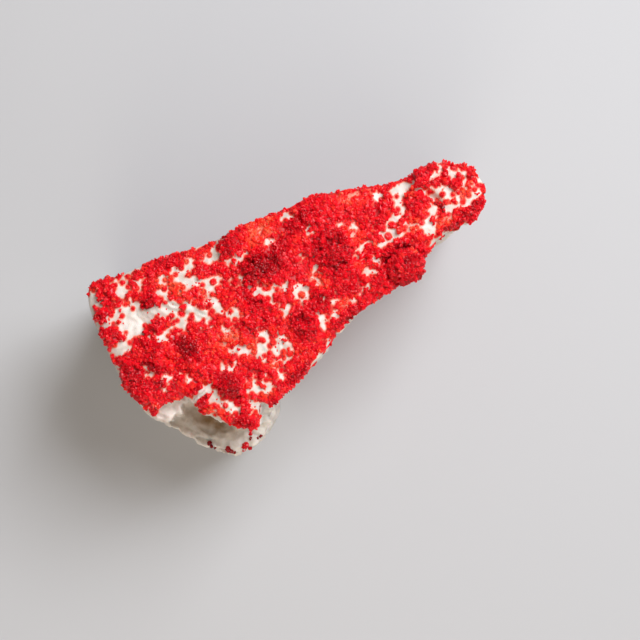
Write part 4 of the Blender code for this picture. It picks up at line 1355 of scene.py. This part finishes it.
is_dark, is_wet = strewn[:, 5] > HEAPED_FROM, strewn[:, 6] > WETTED_FROM
kinds = {
    "crumbs_heaped": strewn[is_dark],
    "crumbs_wetted": strewn[is_wet & ~is_dark],
    "crumbs_strewn": strewn[~is_wet & ~is_dark],
    "crumbs_on_edge": clinging,
    "crumbs_lone": lone,
}
grains = [join_grains(name, rows, large_shapes) for name, rows in kinds.items()]

# %% [markdown]
# ### Fine crumbs over the rest
#
# Rubbing sponge also makes specks of half a millimetre. They are dropped last, onto the grains
# that are there by now, and give the heaps their fine texture.

# %% Fine crumbs
SPECK_SPACING = 0.85 * MM
SPECK_RADIUS = (0.18 * MM, 0.28 * MM, 0.45 * MM)
SPECK_CHANCE, SPECK_BARE_CHANCE, SPECK_STRAY = 0.7, 0.02, 0.15
SPECK_RISE = 0.3  # how far a speck's centre lies above what it fell on, in radii

spots = jittered_spots(SPECK_SPACING)
opening = openness(spots)
stray = SPECK_BARE_CHANCE + SPECK_STRAY * np.clip(opening * 2 - 1, 0, 1)
kept = draw.random(len(spots)) < np.where(opening > 1, SPECK_CHANCE, stray)
spots, opening = spots[kept], opening[kept]
_, dark = pile_height(spots)
places, normals, met = drop(spots, search_tree(frosting, bed, *grains))
places, normals, dark, opening = places[met], normals[met], dark[met], opening[met]
radii = draw.triangular(*SPECK_RADIUS, len(places))
tint = crumb_tint(places, opening, dark) + draw.normal(0, 0.13, len(places))
centres = places + normals * radii[:, None] * SPECK_RISE
specks = np.column_stack([centres, radii, np.clip(tint, 0, 1)])
grains.append(join_grains("crumbs_fine", specks, small_shapes))

# %% [markdown]
# ## The stain
#
# Now that every crumb has its place, the dye can bleed from it. For each point of the coat the
# nearest grain or lump of the bed is found, and the nearer it is, the stronger is the stain.
# Under the bed itself the cream is soaked through, but less where cream wetted the crumbs.

# %% Stain the coat
STAIN_REACH = 1.2 * MM
STAIN_DEPTH = 12 * MM  # how far below the flat top the coat is stained
BED_LUMP = 0.4 * MM  # radius of a lump of the bed, which bleeds as a grain does
UNDER_BED, UNDER_WET = 0.95, 0.5  # the stain there, and how much less it is where it is wet
HOLLOW_SHADE_ELLIPSE = (-50.8, -21.9, 9.5, 3.9, -56)  # plan mm: the hollow, where warm shade is painted on the cream
HOLLOW_SHADE_EDGE, HOLLOW_SHADE_FALL, HOLLOW_SHADE_BLOTCH = 1.3, 1.4, 2.2 * MM
HOLLOW_SHADE_TOP = SHELF_HEIGHT - 2 * MM

bed_points = get_vectors(bed.data.vertices, "co")[is_bed]
bed_rows = np.column_stack([bed_points, np.full(len(bed_points), BED_LUMP)])
dyed = np.concatenate([strewn[:, :4], clinging[:, :4], lone[:, :4], bed_rows])
tree = point_tree(dyed[:, :3])
points = get_vectors(frosting.data.vertices, "co")
stain = np.zeros(len(points))
for i in np.flatnonzero(points[:, 2] > FROSTING_TOP - STAIN_DEPTH):
    _, other, distance = tree.find(points[i])
    stain[i] = max(0.0, 1 - max(0.0, distance - dyed[other, 3]) / STAIN_REACH) ** 1.5
on_top = np.flatnonzero(points[:, 2] > FROSTING_TOP - RIM_DROP)
opening = openness(points[on_top])
under = np.clip(opening * 3 - 3, 0, 1) * (UNDER_BED - UNDER_WET * wetness(points[on_top], opening))
stain[on_top] = np.maximum(stain[on_top], under)
add_value(frosting.data, "stain", stain)
# Painted shade: the cream in the hollow of the torn corner gets a warm brown, darkest in the middle and
# blotched by noise.
share = in_ellipse(points, HOLLOW_SHADE_ELLIPSE)
hollow_shading = np.exp(-HOLLOW_SHADE_FALL * share**2) + 0.3 * wander(points, HOLLOW_SHADE_BLOTCH, 12.0, 2)
hollow_shading *= (points[:, 2] < HOLLOW_SHADE_TOP) & (share < HOLLOW_SHADE_EDGE)
add_value(frosting.data, "hollow_shade", np.clip(hollow_shading, 0, 1))
give_material(frosting, frosting_material)
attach(frosting, "root")
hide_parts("frosting")
print("mean stain", round(float(stain.mean()), 2))

# %% [markdown]
# ## The lump on the edge
#
# A lump of crumbs stuck together sits on the right edge. Its core is a copy of its solid with
# finer bumps, and grains are pressed over it so that it looks like the heaps around it.

# %% Lump of stuck crumbs
LUMP_GRAINS = 420
LUMP_GRAIN_RADIUS = (0.35 * MM, 0.55 * MM, 0.85 * MM)
LUMP_TINT, LUMP_PATCH, LUMP_SPREAD = 0.38, 0.45, 0.14
PATCH_SIZE = 3 * MM
BUMP_HEIGHT, BUMP_SIZE = 0.35, 1.1  # mm
LUMP_FOOT = 0.1 * MM  # the flat foot of the lump, which stays as it is
ROUND_ABOUT = 30  # mm from the middle of its foot, where the rays start

shape = copy_solid("crumb_lump")
bmesh.ops.subdivide_edges(shape, edges=shape.edges, cuts=3, use_grid_fill=True, smooth=0.5)
shape.normal_update()
lowest = min(vert.co.z for vert in shape.verts)
for vert in shape.verts:
    if vert.co.z > lowest + LUMP_FOOT:
        bump = noise.noise(vert.co / (BUMP_SIZE * MM)) - 0.5
        vert.co += vert.normal * BUMP_HEIGHT * MM * bump
lump_tree = BVHTree.FromBMesh(shape)
lump = new_object("crumb_lump_core", shape)
add_value(lump.data, "tint", np.full(len(lump.data.vertices), LUMP_TINT * 0.6))
lump.data.materials.append(crumb_material)
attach(lump, "root")
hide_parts("crumb_lump")

low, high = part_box("crumb_lump")
middle = (low + high) / 2
middle.z = low.z
rows = []
while len(rows) < LUMP_GRAINS:
    aim = Vector(draw.normal(size=3)).normalized()
    aim.z = abs(aim.z)
    place, normal, _, _ = lump_tree.ray_cast(middle + aim * ROUND_ABOUT * MM, -aim)
    if place is None:
        continue
    radius = draw.triangular(*LUMP_GRAIN_RADIUS)
    patch = LUMP_PATCH * noise.noise(place / PATCH_SIZE)
    tint = np.clip(LUMP_TINT + patch + draw.normal(0, LUMP_SPREAD), 0, 1)
    centre = place - PLAN_SHIFT + normal * radius * draw.uniform(-0.3, 0.3)
    rows.append((*centre, radius, tint))
grains.append(join_grains("crumbs_on_lump", np.array(rows), large_shapes))

# %% [markdown]
# ## Moving from the plan to the frame
#
# Everything modelled in plan millimetres moves by the same shift, inside its mesh, so that each
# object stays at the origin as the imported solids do.

# %% Shift the modelled pieces
for piece in (frosting, bed, curl, *grains):
    piece.data.transform(Matrix.Translation(PLAN_SHIFT))

# %% [markdown]
# ## Sizes, and the end
#
# The dressed slice should keep the size of the solids. Both boxes are printed.

# %% Sizes
bpy.context.view_layer.update()
new_low, new_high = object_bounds()
boxes = {
    "cad": [list(cad_low), list(cad_high)],
    "visual": [list(new_low), list(new_high)],
}
for name, (low, high) in boxes.items():
    print(name, [round((b - a) / MM, 1) for a, b in zip(low, high)], "mm")
